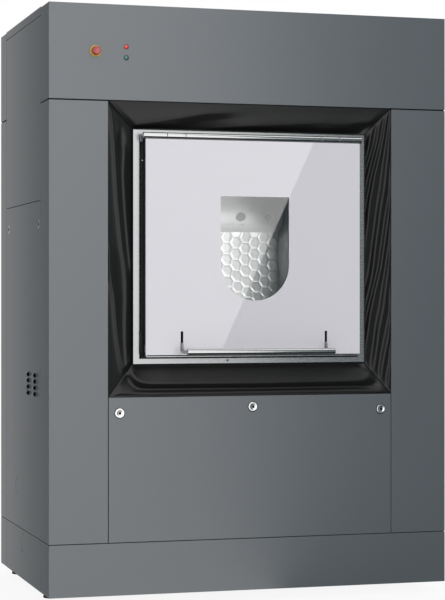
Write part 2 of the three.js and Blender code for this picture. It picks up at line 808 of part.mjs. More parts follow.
// The drain valve under the tub: a flanged body with an outlet towards the rear.
function drainValve() {
  const at = [drainOffsetX, 0, 0];
  const top = -tubRadius + drainSaddleRise;
  const flangeFloor = -tubRadius - drainFlangeThickness;
  const floor = flangeFloor - drainBodyLength;
  const middle = flangeFloor - drainBodyLength / 2;
  const flange = rod(drainFlangeRadius, flangeFloor, top, 'z', at, mediumSteps)
    .subtract(rod(tubRadius + contactGap, -tubHalfLength, tubHalfLength, 'x', [0, 0, 0], roundSteps));
  const body = rod(drainBodyRadius, floor, flangeFloor + drainFlangeThickness / 2, 'z', at, mediumSteps);
  const outletEnd = drainBodyRadius + drainOutletLength;
  const outlet = rod(drainOutletRadius, 0, outletEnd, 'y', [drainOffsetX, 0, middle], mediumSteps);
  const bore = rod(drainOutletRadius - drainOutletWall, 0, outletEnd + cutOverrun, 'y',
    [drainOffsetX, 0, middle], mediumSteps);
  const inlet = rod(drainBoreRadius, middle, 0, 'z', at, mediumSteps);
  return joined([flange, body, outlet]).subtract(bore).subtract(inlet);
}

piece(tubGroup, 'drain_valve', drainValve(), blackPlastic);

// The drum: a shell with its loading port, end discs, shaft ends and three pressed lifters.
function drum() {
  const inner = drumHalfLength - drumWall;
  const shell = rod(drumRadius, -drumHalfLength, drumHalfLength, 'x', [0, 0, 0], roundSteps);
  const hubEnd = drumHalfLength + drumHubLength;
  const hubs = rod(drumHubRadius, -hubEnd, hubEnd, 'x', [0, 0, 0], mediumSteps);
  const shaft = rod(shaftRadius, -leftShaftEnd, rightShaftEnd, 'x', [0, 0, 0], mediumSteps);
  const room = rod(drumRadius - drumWall, -inner, inner, 'x', [0, 0, 0], roundSteps);
  const port = block(-portHalfLength, portHalfLength, -drumRadius - cutOverrun, 0,
    -portHalfHeight, portHalfHeight);
  const lifterRoot = drumRadius - drumWall / 2;
  const lifterLength = inner - lifterEndGap;
  const lifters = lifterAngles.map((angle) => {
    const outline = [
      [-lifterRoot + lifterHeight, -lifterTopWidth / 2], [-lifterRoot + lifterHeight, lifterTopWidth / 2],
      [-lifterRoot + drumWall, lifterFootWidth / 2], [-lifterRoot + drumWall, -lifterFootWidth / 2],
    ];
    const rib = plate(outline, -lifterLength, lifterLength);
    const foot = block(-lifterLength, lifterLength, -lifterRoot, -lifterRoot + drumWall * 2,
      -lifterTopWidth, lifterTopWidth);
    return rib.add(foot).rotate([-angle, 0, 0]);
  });
  const whole = shell.add(hubs).subtract(room).subtract(port);
  const envelope = rod(drumRadius - drumWall / 2, -inner, inner, 'x', [0, 0, 0], roundSteps);
  const ribs = joined(lifters).intersect(envelope);
  const ears = [];
  const pins = [];
  for (const sz of [-1, 1]) {
    const hinge = flapHinge(sz);
    for (const sx of [-1, 1]) {
      const ear = block(sx * portHalfLength, sx * (portHalfLength + earWidth), -earDepth / 2, earDepth / 2,
        -earSpan / 2, earSpan / 2).rotate([-sz * flapHingeAngle, 0, 0]).translate(hinge);
      ears.push(ear);
    }
    const reach = portHalfLength + earWidth + cutOverrun;
    pins.push(rod(boreRadius(flapPinRadius, smallSteps), -reach, reach, 'x', hinge, smallSteps));
  }
  const stubs = shaft.subtract(room);
  const disc = rod(drumRadius - drumWall / 2, -drumHalfLength, drumHalfLength, 'x', [0, 0, 0], roundSteps);
  const earsInside = joined(ears).intersect(disc);
  return joined([whole, stubs, ribs, earsInside]).subtract(joined(pins));
}

// The hinge line of a flap, 1 for the upper one and -1 for the lower one.
function flapHinge(sz) {
  const angle = THREE.MathUtils.degToRad(flapHingeAngle);
  return [0, -flapHingeRadius * Math.cos(angle), sz * flapHingeRadius * Math.sin(angle)];
}

// One drum flap, modelled closed about its hinge line. The upper and lower ones are alike, turned over.
function flap(sz) {
  const [, y, z] = flapHinge(sz);
  const outer = drumRadius - flapSetIn;
  const inner = outer - flapThickness;
  const half = portHalfLength - flapEndGap;
  const from = 180 - sz * flapHingeAngle;
  const to = 180 - sz * flapMeetingAngle;
  const outline = [...arc(outer, from, to, smallSteps), ...arc(inner, to, from, smallSteps)];
  const skin = plate(outline, -half, half).translate([0, -y, -z]);
  const barrel = rod(flapBarrelRadius, -half, half, 'x', [0, 0, 0], smallSteps);
  const pin = rod(flapPinRadius, -half - flapPinLength, half + flapPinLength, 'x', [0, 0, 0], smallSteps);
  const edge = THREE.MathUtils.degToRad(flapMeetingAngle);
  const edgeY = -inner * Math.cos(edge) - y;
  const edgeZ = sz * inner * Math.sin(edge) - z;
  const latch = block(-flapLatchWidth / 2, flapLatchWidth / 2, edgeY - flapThickness / 2,
    edgeY + flapLatchThickness, edgeZ + sz * flapLatchHeight, edgeZ + (sz * flapThickness) / 2);
  return joined([skin, barrel, pin, latch]);
}

const drumGroup = new THREE.Group();
tubGroup.add(drumGroup);
piece(drumGroup, 'drum_shell', drum(), stainless);
for (const [name, sz] of [['drum_flap_upper', 1], ['drum_flap_lower', -1]]) {
  const mesh = piece(drumGroup, name, flap(sz), stainless);
  mesh.position.set(...flapHinge(sz));
  mesh.rotation.x = THREE.MathUtils.degToRad(sz * flapOpenAngle);
}

// The drum's belt pulley about X: rim, web and hub, with its bore.
function drumPulley() {
  const half = pulleyWidth / 2;
  const web = pulleyWeb / 2;
  const rim = drumPulleyRadius - pulleyRim;
  const bore = boreRadius(shaftRadius, pulleySteps);
  return turned([
    [bore, -half], [pulleyHubRadius, -half], [pulleyHubRadius, -web], [rim, -web], [rim, -half],
    [drumPulleyRadius, -half], [drumPulleyRadius, half], [rim, half], [rim, web], [pulleyHubRadius, web],
    [pulleyHubRadius, half], [bore, half], [bore, -half],
  ], 'x', pulleySteps).translate([pulleyOffsetX + half, 0, 0]);
}

// A loop round both pulleys, as pairs of Y and Z, whose flats lie at a distance out from them.
function beltLine(out) {
  const lean = THREE.MathUtils.radToDeg(Math.asin((drumPulleyRadius - motorPulleyRadius) / motorDrop));
  const wrap = (radius, from, to, steps, centre) => {
    const halfStep = THREE.MathUtils.degToRad((to - from) / steps / 2);
    return arc((radius + out) / Math.cos(halfStep), from, to, steps, centre);
  };
  return [
    ...wrap(drumPulleyRadius, -lean, 180 + lean, mediumSteps, [0, 0]),
    ...wrap(motorPulleyRadius, 180 + lean, 360 - lean, smallSteps, [0, -motorDrop]),
  ];
}

// The drive beside the tub: pulley on the drum's shaft, belt, motor pulley and motor.
function drive() {
  piece(drumGroup, 'drum_pulley', drumPulley(), castGrey);

  const beltFloor = pulleyOffsetX + (pulleyWidth - beltWidth) / 2;
  const loop = plate(beltLine(contactGap + beltThickness), beltFloor, beltFloor + beltWidth);
  const gap = plate(beltLine(contactGap), beltFloor - cutOverrun, beltFloor + beltWidth + cutOverrun);
  piece(tubGroup, 'drive_belt', loop.subtract(gap), blackRubber);

  const rotor = new THREE.Group();
  rotor.position.z = -motorDrop;
  tubGroup.add(rotor);
  const shaftStart = motorRightEnd - motorShaftGrip;
  const wheelEnd = pulleyOffsetX + pulleyWidth;
  const wheel = rod(motorPulleyRadius, pulleyOffsetX, wheelEnd, 'x', [0, 0, 0], mediumSteps);
  const shaft = rod(motorShaftRadius, shaftStart, wheelEnd, 'x', [0, 0, 0], mediumSteps);
  piece(rotor, 'motor_pulley', wheel.add(shaft), castGrey);

  const body = rod(motorRadius, motorLeftEnd, motorRightEnd, 'x', [0, 0, -motorDrop], mediumSteps);
  const mounts = [motorLeftEnd + motorMountInset, motorRightEnd - motorMountInset].map((x) => block(
    x - motorMountThickness / 2, x + motorMountThickness / 2, -motorMountWidth / 2, motorMountWidth / 2,
    -motorDrop, -tubRadius + cutOverrun));
  const boxX = (motorLeftEnd + motorRightEnd) / 2;
  const terminals = block(boxX - motorBoxLength / 2, boxX + motorBoxLength / 2, 0,
    motorRadius + motorBoxHeight, -motorDrop - motorBoxWidth / 2, -motorDrop + motorBoxWidth / 2);
  const shaftRoom = rod(boreRadius(motorShaftRadius, mediumSteps), shaftStart - contactGap,
    motorRightEnd + cutOverrun, 'x', [0, 0, -motorDrop], mediumSteps);
  const tubRoom = rod(tubRadius + contactGap, -tubHalfLength, tubHalfLength, 'x', [0, 0, 0], roundSteps);
  const motor = joined([body, ...mounts, terminals]).subtract(shaftRoom).subtract(tubRoom);
  piece(tubGroup, 'motor', motor, castGrey);
}

drive();

// A suspension strut: foot pad, damper tube, rod, spring seats and the coil spring drawn as a ribbed sleeve.
function strut() {
  const height = drumAxisHeight - strutSeatDrop - ringTop - contactGap * 2;
  const springFloor = height * springFloorShare;
  const springLength = height * springLengthShare;
  const pitch = springLength / springTurns;
  const spring = [];
  for (let turn = 0; turn < springTurns; turn += 1) {
    const z = springFloor + springSeatThickness + turn * pitch;
    spring.push([springRadius - springWire, z], [springRadius, z + pitch / 2 - springWire / 2],
      [springRadius, z + pitch / 2 + springWire / 2]);
  }
  const springTop = springFloor + springSeatThickness + springLength;
  const seatTop = springTop + springSeatThickness;
  return turned([
    [0, 0], [strutPadRadius, 0], [strutPadRadius, strutPadHeight], [strutTubeRadius, strutPadHeight],
    [strutTubeRadius, springFloor], [springSeatRadius, springFloor],
    [springSeatRadius, springFloor + springSeatThickness], ...spring, [springRadius - springWire, springTop],
    [springSeatRadius, springTop], [springSeatRadius, seatTop], [strutRodRadius, seatTop],
    [strutRodRadius, height - strutPadHeight], [strutPadRadius, height - strutPadHeight],
    [strutPadRadius, height], [0, height],
  ], 'z', hiddenSteps);
}

const strutPlaces = [
  ['front_left', -1, -1], ['front_right', 1, -1], ['rear_left', -1, 1], ['rear_right', 1, 1],
];
for (const [name, sx, sy] of strutPlaces) {
  const mesh = piece(washer, `strut_${name}`, strut(), castGrey);
  mesh.position.set(sx * gussetOffsetX, sy * strutOffsetY, ringTop + contactGap);
}

// One door with its frame, modelled for the front end about the drum's axis.
function doorEnd(end) {
  const group = new THREE.Group();
  const [fx, fz] = [frameWidth / 2, frameHeight / 2];
  const seatX = fx - seatOuterInset;
  const seatZ = fz - seatOuterInset;
  const seatFront = -leafBack + contactGap;
  const hingeY = -frameFace - hingeForward;
  const hingeZ = fz - hingeDrop;
  const through = cutOverrun + frameDepth;

  // Frame: rim, set-back flange and the raised seat that the leaf closes on.
  const rim = block(-fx, fx, -frameFace, -frameBack, -fz, fz)
    .subtract(block(-fx + frameRim, fx - frameRim, -frameFace - cutOverrun, -frameBack - frameFlange,
      -fz + frameRim, fz - frameRim));
  const seat = block(-seatX, seatX, seatFront, -frameBack, -seatZ, seatZ);
  const mouth = block(-seatX + seatWidth, seatX - seatWidth, seatFront - through, -frameBack + through,
    -seatZ + seatWidth, seatZ - seatWidth);
  const hole = rod(frameHoleRadius, -frameFace - cutOverrun, -frameBack + cutOverrun, 'y',
    [frameHoleOffsetX, 0, -fz + frameRim / 2], smallSteps);
  const tube = (x0, x1, radius) => rod(radius, x0, x1, 'x', [0, hingeY, hingeZ], mediumSteps);
  const arms = [];
  for (const sx of [-1, 1]) {
    const [a, b] = [sx * (innerKnuckleX + knuckleGap / 2), sx * (outerKnuckleX - knuckleGap / 2)];
    arms.push(tube(Math.min(a, b), Math.max(a, b), hingeRadius));
    arms.push(block(a, b, hingeY, -frameFace + frameFlange, hingeZ - hingeArm, hingeZ + hingeArm));
  }
  const pinRoom = tube(-hingeHalfLength, hingeHalfLength, boreRadius(hingePinRadius, mediumSteps));
  const frame = joined([rim, seat, ...arms]).subtract(mouth).subtract(hole).subtract(pinRoom);
  piece(group, `door_frame_${end}`, frame, stainless);

  // Leaf parts, about the hinge line.
  const leaf = new THREE.Group();
  leaf.position.set(0, hingeY, hingeZ);
  group.add(leaf);
  const pin = rod(hingePinRadius, -hingeHalfLength, hingeHalfLength, 'x', [0, 0, 0], smallSteps);
  piece(leaf, `hinge_pin_${end}`, pin, stainless);

  const lx = leafWidth / 2;
  const glassTop = -leafDrop;
  const glassFloor = glassTop - glassHeight;
  const glassBack = -glassForward + glassThickness;
  const slotFloor = glassFloor + handleSlotFloor;
  let glass = block(-lx, lx, -glassForward, glassBack, glassFloor, glassTop);
  for (const sx of [-1, 1]) {
    const x = sx * handleArmX;
    glass = glass.subtract(block(x - handleSlotWidth / 2, x + handleSlotWidth / 2, -glassForward - cutOverrun,
      glassBack + cutOverrun, slotFloor, slotFloor + handleSlotHeight));
  }
  piece(leaf, `door_glass_${end}`, glass, paleGlass);

  const trayX = lx - traySideInset;
  const trayFront = glassBack + contactGap;
  const trayBack = glassBack + trayDepth;
  const trayFloor = glassFloor - trayHem;
  let tray = trough(-trayX, trayX, trayFront, trayBack, trayFloor, glassTop, trayWall, '-y');
  tray = tray.subtract(block(-portholeWidth / 2, portholeWidth / 2, trayBack - trayWall - cutOverrun,
    trayBack + cutOverrun, glassTop - portholeFloorBelow, glassTop - portholeTopBelow));
  for (let i = 0; i < drainSlotCount; i += 1) {
    const x = (i - (drainSlotCount - 1) / 2) * drainSlotPitch;
    tray = tray.subtract(block(x - drainSlotLength / 2, x + drainSlotLength / 2,
      trayBack - trayWall - cutOverrun, trayBack + cutOverrun,
      trayFloor + trayWall, trayFloor + trayWall + drainSlotHeight));
  }
  const knuckles = [];
  const spans = [
    [-hingeHalfLength, -outerKnuckleX - knuckleGap / 2],
    [-innerKnuckleX + knuckleGap / 2, innerKnuckleX - knuckleGap / 2],
    [outerKnuckleX + knuckleGap / 2, hingeHalfLength],
  ];
  for (const [x0, x1] of spans) {
    knuckles.push(rod(hingeRadius, x0, x1, 'x', [0, 0, 0], mediumSteps));
    const [w0, w1] = [Math.max(x0, -trayX), Math.min(x1, trayX)];
    knuckles.push(block(w0, w1, trayFront, trayFront + hingeRadius / 2, glassTop - trayWall, 0));
  }
  const shaftY = glassBack + handleShaftSetback;
  const shaftZ = glassFloor + handleShaftHeight;
  for (const sx of [-1, 1]) {
    const x = sx * bushingX;
    knuckles.push(block(x - bushingWidth / 2, x + bushingWidth / 2, trayFront, trayBack - trayWall / 2,
      shaftZ - bushingHeight / 2, shaftZ + bushingHeight / 2));
  }
  const pinReach = hingeHalfLength + cutOverrun;
  const pinBore = rod(boreRadius(hingePinRadius, smallSteps), -pinReach, pinReach, 'x', [0, 0, 0],
    smallSteps);
  const shaftReach = bushingX + bushingWidth;
  const shaftBore = rod(boreRadius(handleShaftRadius, smallSteps), -shaftReach, shaftReach, 'x',
    [0, shaftY, shaftZ], smallSteps);
  tray = joined([tray, ...knuckles]).subtract(pinBore).subtract(shaftBore);
  piece(leaf, `door_tray_${end}`, tray, stainless);

  // Handle: the bar, its two arms through the slots and the shaft that they turn on.
  const barY = -glassForward - handleReach - shaftY;
  const barZ = glassFloor + handleBarHeight - shaftZ;
  const handle = [
    rod(handleBarRadius, -handleBarHalfLength, handleBarHalfLength, 'x', [0, barY, barZ], mediumSteps),
    rod(handleShaftRadius, -handleShaftHalfLength, handleShaftHalfLength, 'x', [0, 0, 0], smallSteps),
  ];
  for (const sx of [-1, 1]) {
    const x = sx * handleArmX;
    const outline = [
      [0, -handleArmHeight / 2], [0, handleArmHeight / 2], [barY, barZ + handleArmHeight / 2],
      [barY, barZ - handleArmHeight / 2],
    ];
    handle.push(plate(outline, x - handleArmThickness / 2, x + handleArmThickness / 2));
    const camX = sx * (handleShaftHalfLength - handleCamLength / 2);
    handle.push(rod(handleCamRadius, camX - handleCamLength / 2, camX + handleCamLength / 2, 'x', [0, 0, 0],
      smallSteps));
  }
  const bar = piece(leaf, `door_handle_${end}`, joined(handle), stainless);
  bar.position.set(0, shaftY, shaftZ);
  return group;
}

const frontDoor = doorEnd('front');
const rearDoor = doorEnd('rear');
rearDoor.rotation.z = Math.PI;
tubGroup.add(frontDoor, rearDoor);

export default washer;
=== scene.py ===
# %% [markdown]
# # Dressing a barrier washer
# A barrier washer stands in a wall between a soiled and a clean laundry room, with a door on each side. Its
# solids arrive here as a fixed frame: every sheet, hinge and wheel already has its place and its motion.
# This lesson gives each one the surface that the real machine has, and adds the small shapes that make a
# surface look real: rolled edges, sewn folds, embossed steel, screws and springs.

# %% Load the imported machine
import json
import math
from contextlib import contextmanager

import bmesh
import bpy
import numpy as np
from mathutils import Matrix, Vector

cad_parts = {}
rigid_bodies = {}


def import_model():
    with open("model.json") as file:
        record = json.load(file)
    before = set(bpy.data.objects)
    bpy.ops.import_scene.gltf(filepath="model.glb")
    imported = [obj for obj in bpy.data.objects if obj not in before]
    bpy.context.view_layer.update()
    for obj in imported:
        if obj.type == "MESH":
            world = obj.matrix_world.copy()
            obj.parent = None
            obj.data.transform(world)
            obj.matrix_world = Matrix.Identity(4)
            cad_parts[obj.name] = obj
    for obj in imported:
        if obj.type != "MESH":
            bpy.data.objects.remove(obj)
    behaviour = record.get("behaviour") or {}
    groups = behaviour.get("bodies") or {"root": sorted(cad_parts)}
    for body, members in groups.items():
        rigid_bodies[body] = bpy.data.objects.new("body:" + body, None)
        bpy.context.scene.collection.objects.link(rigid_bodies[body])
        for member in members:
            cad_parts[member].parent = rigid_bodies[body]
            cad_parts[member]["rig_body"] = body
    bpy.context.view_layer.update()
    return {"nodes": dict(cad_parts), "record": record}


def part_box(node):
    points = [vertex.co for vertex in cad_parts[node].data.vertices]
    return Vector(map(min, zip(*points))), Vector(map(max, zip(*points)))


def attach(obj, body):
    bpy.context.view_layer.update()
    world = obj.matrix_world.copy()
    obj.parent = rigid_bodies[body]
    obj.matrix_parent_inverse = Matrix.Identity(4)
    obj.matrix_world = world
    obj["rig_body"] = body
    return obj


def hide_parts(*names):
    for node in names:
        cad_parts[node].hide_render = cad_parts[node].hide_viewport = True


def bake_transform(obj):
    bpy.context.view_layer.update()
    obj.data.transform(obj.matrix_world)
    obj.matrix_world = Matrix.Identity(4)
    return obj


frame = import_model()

MM = 0.001
front_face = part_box("fascia_front")[0].y

# %% [markdown]
# ## The camera
# The photograph was taken from far away with a long lens, so that upright edges stay nearly upright. Such a
# view is rebuilt with a level camera at half the machine's height: a level camera keeps every upright line
# parallel.

# %% Stand the camera where the photograph was taken
camera_data = bpy.data.cameras.new("photo_camera")
camera_data.lens = 115.48
camera_data.sensor_width = 36.0
camera_place = Vector((-1.7994, -6.1879, 0.9432))
camera_forward = Vector((0.2828, 0.9592, 0.0))
camera = bpy.data.objects.new("photo_camera", camera_data)
camera.location = camera_place
camera.rotation_euler = camera_forward.to_track_quat("-Z", "Y").to_euler()
bpy.context.scene.collection.objects.link(camera)
bpy.context.scene.camera = camera
print("camera to the front face:", round(front_face - camera_place.y, 2), "m")

# %% [markdown]
# ## A few helpers
# Each piece is a mesh whose object stays at the origin, so its place is in its points. The helpers below
# make a mesh object from points, turn a profile about a line, fill a flat outline, and hand a finished
# piece over: its finish, the body it moves with, and the CAD node that it stands for.

# %% Make mesh objects
ends = (("front", -1), ("rear", 1))
sides = (("left", -1), ("right", 1))


def link(obj):
    bpy.context.scene.collection.objects.link(obj)
    return obj


def mesh_object(name, points, faces, smooth=False):
    """A mesh object at the origin from points and faces."""
    mesh = bpy.data.meshes.new(name)
    mesh.from_pydata([tuple(p) for p in points], [], [tuple(f) for f in faces])
    mesh.polygons.foreach_set("use_smooth", [smooth] * len(mesh.polygons))
    mesh.update()
    return link(bpy.data.objects.new(name, mesh))


def object_from_bmesh(name, shape, smooth=False):
    """A mesh object at the origin from a bmesh, which is freed."""
    mesh = bpy.data.meshes.new(name)
    shape.to_mesh(mesh)
    shape.free()
    mesh.polygons.foreach_set("use_smooth", [smooth] * len(mesh.polygons))
    return link(bpy.data.objects.new(name, mesh))


@contextmanager
def opened(mesh):
    """A mesh as a bmesh that can be edited, and is written back afterwards."""
    shape = bmesh.new()
    shape.from_mesh(mesh)
    yield shape
    shape.to_mesh(mesh)
    shape.free()


def clean(mesh, merge=0.000001):
    """Merges points that lie together and turns all faces outwards."""
    with opened(mesh) as shape:
        bmesh.ops.remove_doubles(shape, verts=shape.verts, dist=merge)
        bmesh.ops.recalc_face_normals(shape, faces=shape.faces)


def to_end(mesh, facing):
    """Turns a mesh that was made for the front end half round where it belongs at the rear end."""
    if facing > 0:
        mesh.transform(Matrix.Rotation(math.pi, 4, "Z"))


print("ends:", [end for end, facing in ends])

# %% Turn a profile
def turned(name, profile, at, along, steps=48, closed=False):
    """A round shape about a line through a point; its profile is radius and distance in millimetres."""
    along = Vector(along).normalized()
    side = along.orthogonal().normalized()
    up = along.cross(side)
    shape = bmesh.new()
    rings = []
    angles = [2 * math.pi * k / steps for k in range(steps)]
    for radius, distance in profile:
        centre = Vector(at) + along * (distance * MM)
        if radius == 0:
            rings.append([shape.verts.new(centre)])
            continue
        rings.append([shape.verts.new(centre + (side * math.cos(a) + up * math.sin(a)) * (radius * MM))
                      for a in angles])
    if closed:
        rings.append(rings[0])
    for low, high in zip(rings, rings[1:]):
        for k in range(steps):
            n = (k + 1) % steps
            corners = [low[k % len(low)], low[n % len(low)], high[n % len(high)], high[k % len(high)]]
            corners = list(dict.fromkeys(corners))
            if len(corners) > 2:
                shape.faces.new(corners)
    bmesh.ops.recalc_face_normals(shape, faces=shape.faces)
    return object_from_bmesh(name, shape, smooth=True)


def sharpen(obj, degrees=35):
    """Keeps edges crisp where a smooth-shaded surface turns by more than an angle."""
    with opened(obj.data) as shape:
        for edge in shape.edges:
            if len(edge.link_faces) == 2 and edge.calc_face_angle(0) > math.radians(degrees):
                edge.smooth = False
    return obj


print("round pieces have", turned.__defaults__[0], "sides at most")

# %% Fill an outline
def flat_mesh(outlines, depth, bevel=0.0):
    """A plate in the plane of local X and Y from closed outlines, the first the rim and the rest holes."""
    curve = bpy.data.curves.new("outline", "CURVE")
    curve.dimensions = "2D"
    curve.fill_mode = "BOTH"
    curve.extrude = depth / 2 - bevel
    curve.bevel_depth = bevel
    curve.offset = -bevel
    curve.bevel_resolution = 2
    for outline in outlines:
        spline = curve.splines.new("POLY")
        spline.points.add(len(outline) - 1)
        for point, (x, y) in zip(spline.points, outline):
            point.co = (x, y, 0, 1)
        spline.use_cyclic_u = True
    maker = link(bpy.data.objects.new("outline", curve))
    bpy.context.view_layer.update()
    mesh = bpy.data.meshes.new_from_object(maker.evaluated_get(bpy.context.evaluated_depsgraph_get()))
    bpy.data.objects.remove(maker)
    bpy.data.curves.remove(curve)
    return mesh


def placed_plate(name, outlines, depth, bevel, move, turn, facing=-1):
    """A flat mesh turned and moved to its place on the front end, then taken to the end it faces."""
    mesh = flat_mesh(outlines, depth, bevel)
    mesh.transform(Matrix.Translation(move) @ Matrix(turn))
    to_end(mesh, facing)
    mesh.name = name
    clean(mesh)
    return link(bpy.data.objects.new(name, mesh))


def upright_plate(name, outlines, y_front, depth, facing, bevel=0.0):
    """A plate across Y: outlines are pairs of X and Z seen from the front, facing is -1 for the front end."""
    turn = ((1, 0, 0, 0), (0, 0, -1, 0), (0, 1, 0, 0), (0, 0, 0, 1))
    return placed_plate(name, outlines, depth, bevel, (0, y_front + depth / 2, 0), turn, facing)


def side_plate(name, outline, x_middle, depth, bevel):
    """A plate across X from an outline in Y and Z."""
    turn = ((0, 0, 1, 0), (1, 0, 0, 0), (0, 1, 0, 0), (0, 0, 0, 1))
    return placed_plate(name, [outline], depth, bevel, (x_middle, 0, 0), turn)


def rectangle(x0, x1, z0, z1):
    return [(x0, z0), (x1, z0), (x1, z1), (x0, z1)]


print("plates lie across Y or X")

# %% Wire nodes
def wired(tree, kind, wires=None, **settings):
    """Adds a node to a tree, sets its properties, and wires or sets its inputs by name or number."""
    node = tree.nodes.new(kind)
    for key, value in settings.items():
        setattr(node, key, value)
    for key, value in (wires or {}).items():
        if hasattr(value, "links"):
            tree.links.new(value, node.inputs[key])
        else:
            node.inputs[key].default_value = value
    return node


print("a node is added, set and wired in one call")

# %% Hand a piece over
def hand_over(obj, finish, body, stands_for=()):
    """Gives a piece its finish and its body, and hides the nodes that it stands for."""
    if finish is not None:
        obj.data.materials.clear()
        obj.data.materials.append(finish)
    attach(obj, body)
    if stands_for:
        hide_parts(*stands_for)
    return obj


# %% [markdown]
# ## The studio
# A grey machine on white needs little light: a pale floor, a white surround and broad soft lamps. What
# gives flat sheet metal its shape is what it mirrors, so cards stand round the machine where only
# reflections see them: a bright one in front, a dark one beside it, and a dark one behind the left side.
# The bright card's slanted edge draws the long diagonal across the door's glass, and its upright edge makes
# the paint darker from left to right.

# %% Fill the air with light
scene = bpy.context.scene
scene.view_settings.view_transform = "Standard"

world = bpy.data.worlds.new("studio_air")
scene.world = world
world.use_nodes = True
tree = world.node_tree
ray = wired(tree, "ShaderNodeLightPath")
seen = wired(tree, "ShaderNodeMath", {0: ray.outputs["Is Camera Ray"], 1: ray.outputs["Is Glossy Ray"]},
             operation="MAXIMUM")
seen_through = wired(tree, "ShaderNodeMath", {0: seen.outputs[0], 1: ray.outputs["Is Transmission Ray"]},
                     operation="MAXIMUM")
strength = wired(tree, "ShaderNodeMapRange", {
    "Value": seen_through.outputs[0], "To Min": 0.62, "To Max": 1.0})
background = tree.nodes["Background"]
background.inputs["Color"].default_value = (1, 1, 1, 1)
tree.links.new(strength.outputs["Result"], background.inputs["Strength"])


def lamp(name, place, aim, size, power):
    """A large soft lamp that neither the camera nor a reflection sees."""
    data = bpy.data.lights.new(name, "AREA")
    data.shape = "RECTANGLE"
    data.size, data.size_y = size
    data.energy = power
    made = link(bpy.data.objects.new(name, data))
    made.location = place
    made.rotation_euler = (Vector(aim) - Vector(place)).to_track_quat("-Z", "Y").to_euler()
    made.visible_camera = False
    made.visible_glossy = False
    return made


lamp("key_lamp", (1.2, -5.0, 3.6), (0, 0, 0.9), (3.4, 3.4), 60)
lamp("fill_lamp", (-4.6, -2.2, 1.8), (0, 0, 0.9), (3.0, 3.0), 14)
lamp("back_lamp", (1.5, 4.8, 2.8), (0, 0, 0.9), (3.0, 3.0), 70)
lamp("right_lamp", (4.8, 0.6, 2.0), (0, 0, 0.9), (3.0, 3.0), 55)

# %% Lay the floor
floor_material = bpy.data.materials.new("studio_floor")
floor_material.use_nodes = True
tree = floor_material.node_tree
plain = tree.nodes["Principled BSDF"]
plain.inputs["Base Color"].default_value = (0.85, 0.85, 0.86, 1)
plain.inputs["Roughness"].default_value = 0.9
ray = wired(tree, "ShaderNodeLightPath")
how_white = wired(tree, "ShaderNodeMath", {0: ray.outputs["Is Camera Ray"], 1: 0.9}, operation="MULTIPLY")
white = wired(tree, "ShaderNodeEmission")
mix = wired(tree, "ShaderNodeMixShader", {
    "Fac": how_white.outputs[0], 1: plain.outputs[0], 2: white.outputs[0]})
tree.links.new(mix.outputs[0], tree.nodes["Material Output"].inputs["Surface"])
floor = mesh_object("studio_floor", [(-9, -9, 0), (9, -9, 0), (9, 9, 0), (-9, 9, 0)], [(0, 1, 2, 3)])
floor.data.materials.append(floor_material)
floor.visible_glossy = False
print("floor laid")


# %% Make the cards
def card(name, corners, strength_value, steep_value=None, tint=(1, 1, 1)):
    """An emitting card that only reflections see. One that lies flat may be dark where it is seen steeply."""
    made = mesh_object(name, corners, [tuple(range(len(corners)))])
    glow = bpy.data.materials.new(name)
    glow.use_nodes = True
    tree = glow.node_tree
    tree.nodes.remove(tree.nodes["Principled BSDF"])
    emission = wired(tree, "ShaderNodeEmission", {"Strength": strength_value, "Color": (*tint, 1)})
    if steep_value is not None:
        slope = wired(tree, "ShaderNodeLayerWeight")
        change = wired(tree, "ShaderNodeMapRange", {
            "Value": slope.outputs["Facing"], "From Min": 0.60, "From Max": 0.80,
            "To Min": steep_value, "To Max": strength_value})
        tree.links.new(change.outputs["Result"], emission.inputs["Strength"])
    tree.links.new(emission.outputs[0], tree.nodes["Material Output"].inputs["Surface"])
    made.data.materials.append(glow)
    made.visible_camera = False
    made.visible_diffuse = False
    made.visible_volume_scatter = False
    made.visible_shadow = False
    return made


def standing(y, *edges):
    """The corners of an upright card across Y, from its edges in X and Z."""
    return [(x, y, z) for x, z in rectangle(*edges)]


def lying(z, *edges):
    """The corners of a level card, from its edges in X and Y."""
    return [(x, y, z) for x, y in rectangle(*edges)]


bright, dim = 2.12, 0.26
shade_blue = (0.74, 0.95, 1.0)
glass_low, glass_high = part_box("door_glass_front")
glass_plane = glass_low.y
card_plane = -3.4
mirrored_eye = Vector((camera_place.x, 2 * glass_plane - camera_place.y, camera_place.z))


def seen_in_glass(x, z):
    """The place on the card's plane that the camera sees mirrored at a point of the front."""
    ray_out = Vector((x, glass_plane, z)) - mirrored_eye
    return mirrored_eye + ray_out * ((card_plane - mirrored_eye.y) / ray_out.y)


print("the glass mirrors the card's plane at", round(glass_plane - card_plane, 2), "m")

# %% Stand the front cards
edge_high = seen_in_glass(0.1950, 1.4380)
edge_low = seen_in_glass(-0.1045, 0.7935)
lean = (edge_high.x - edge_low.x) / (edge_high.z - edge_low.z)
fade_x = 0.98
slant_top, slant_foot = edge_high.z + 0.06, edge_low.z - 0.04
card_left, card_foot, card_top = -2.9, 0.02, 6.0
card("bright_card", [(x, card_plane, z) for x, z in (
    (card_left, card_foot), (fade_x, card_foot), (fade_x, slant_foot),
    (edge_low.x + lean * (slant_foot - edge_low.z), slant_foot),
    (edge_low.x + lean * (slant_top - edge_low.z), slant_top),
    (fade_x, slant_top), (fade_x, card_top), (card_left, card_top))], bright)
dim_left, dim_right, dim_setback = -1.0, 9.0, 0.1
card("dim_card", standing(card_plane - dim_setback, dim_left, dim_right, card_foot, card_top), dim,
     tint=shade_blue)
sky_height = 6.2
card("sky_card", lying(sky_height, -4.0, 4.0, -4.0, 3.0), 1.8)
near_y, fade_near, sheet_lift, steep = -0.46, 0.10, 0.004, 0.06
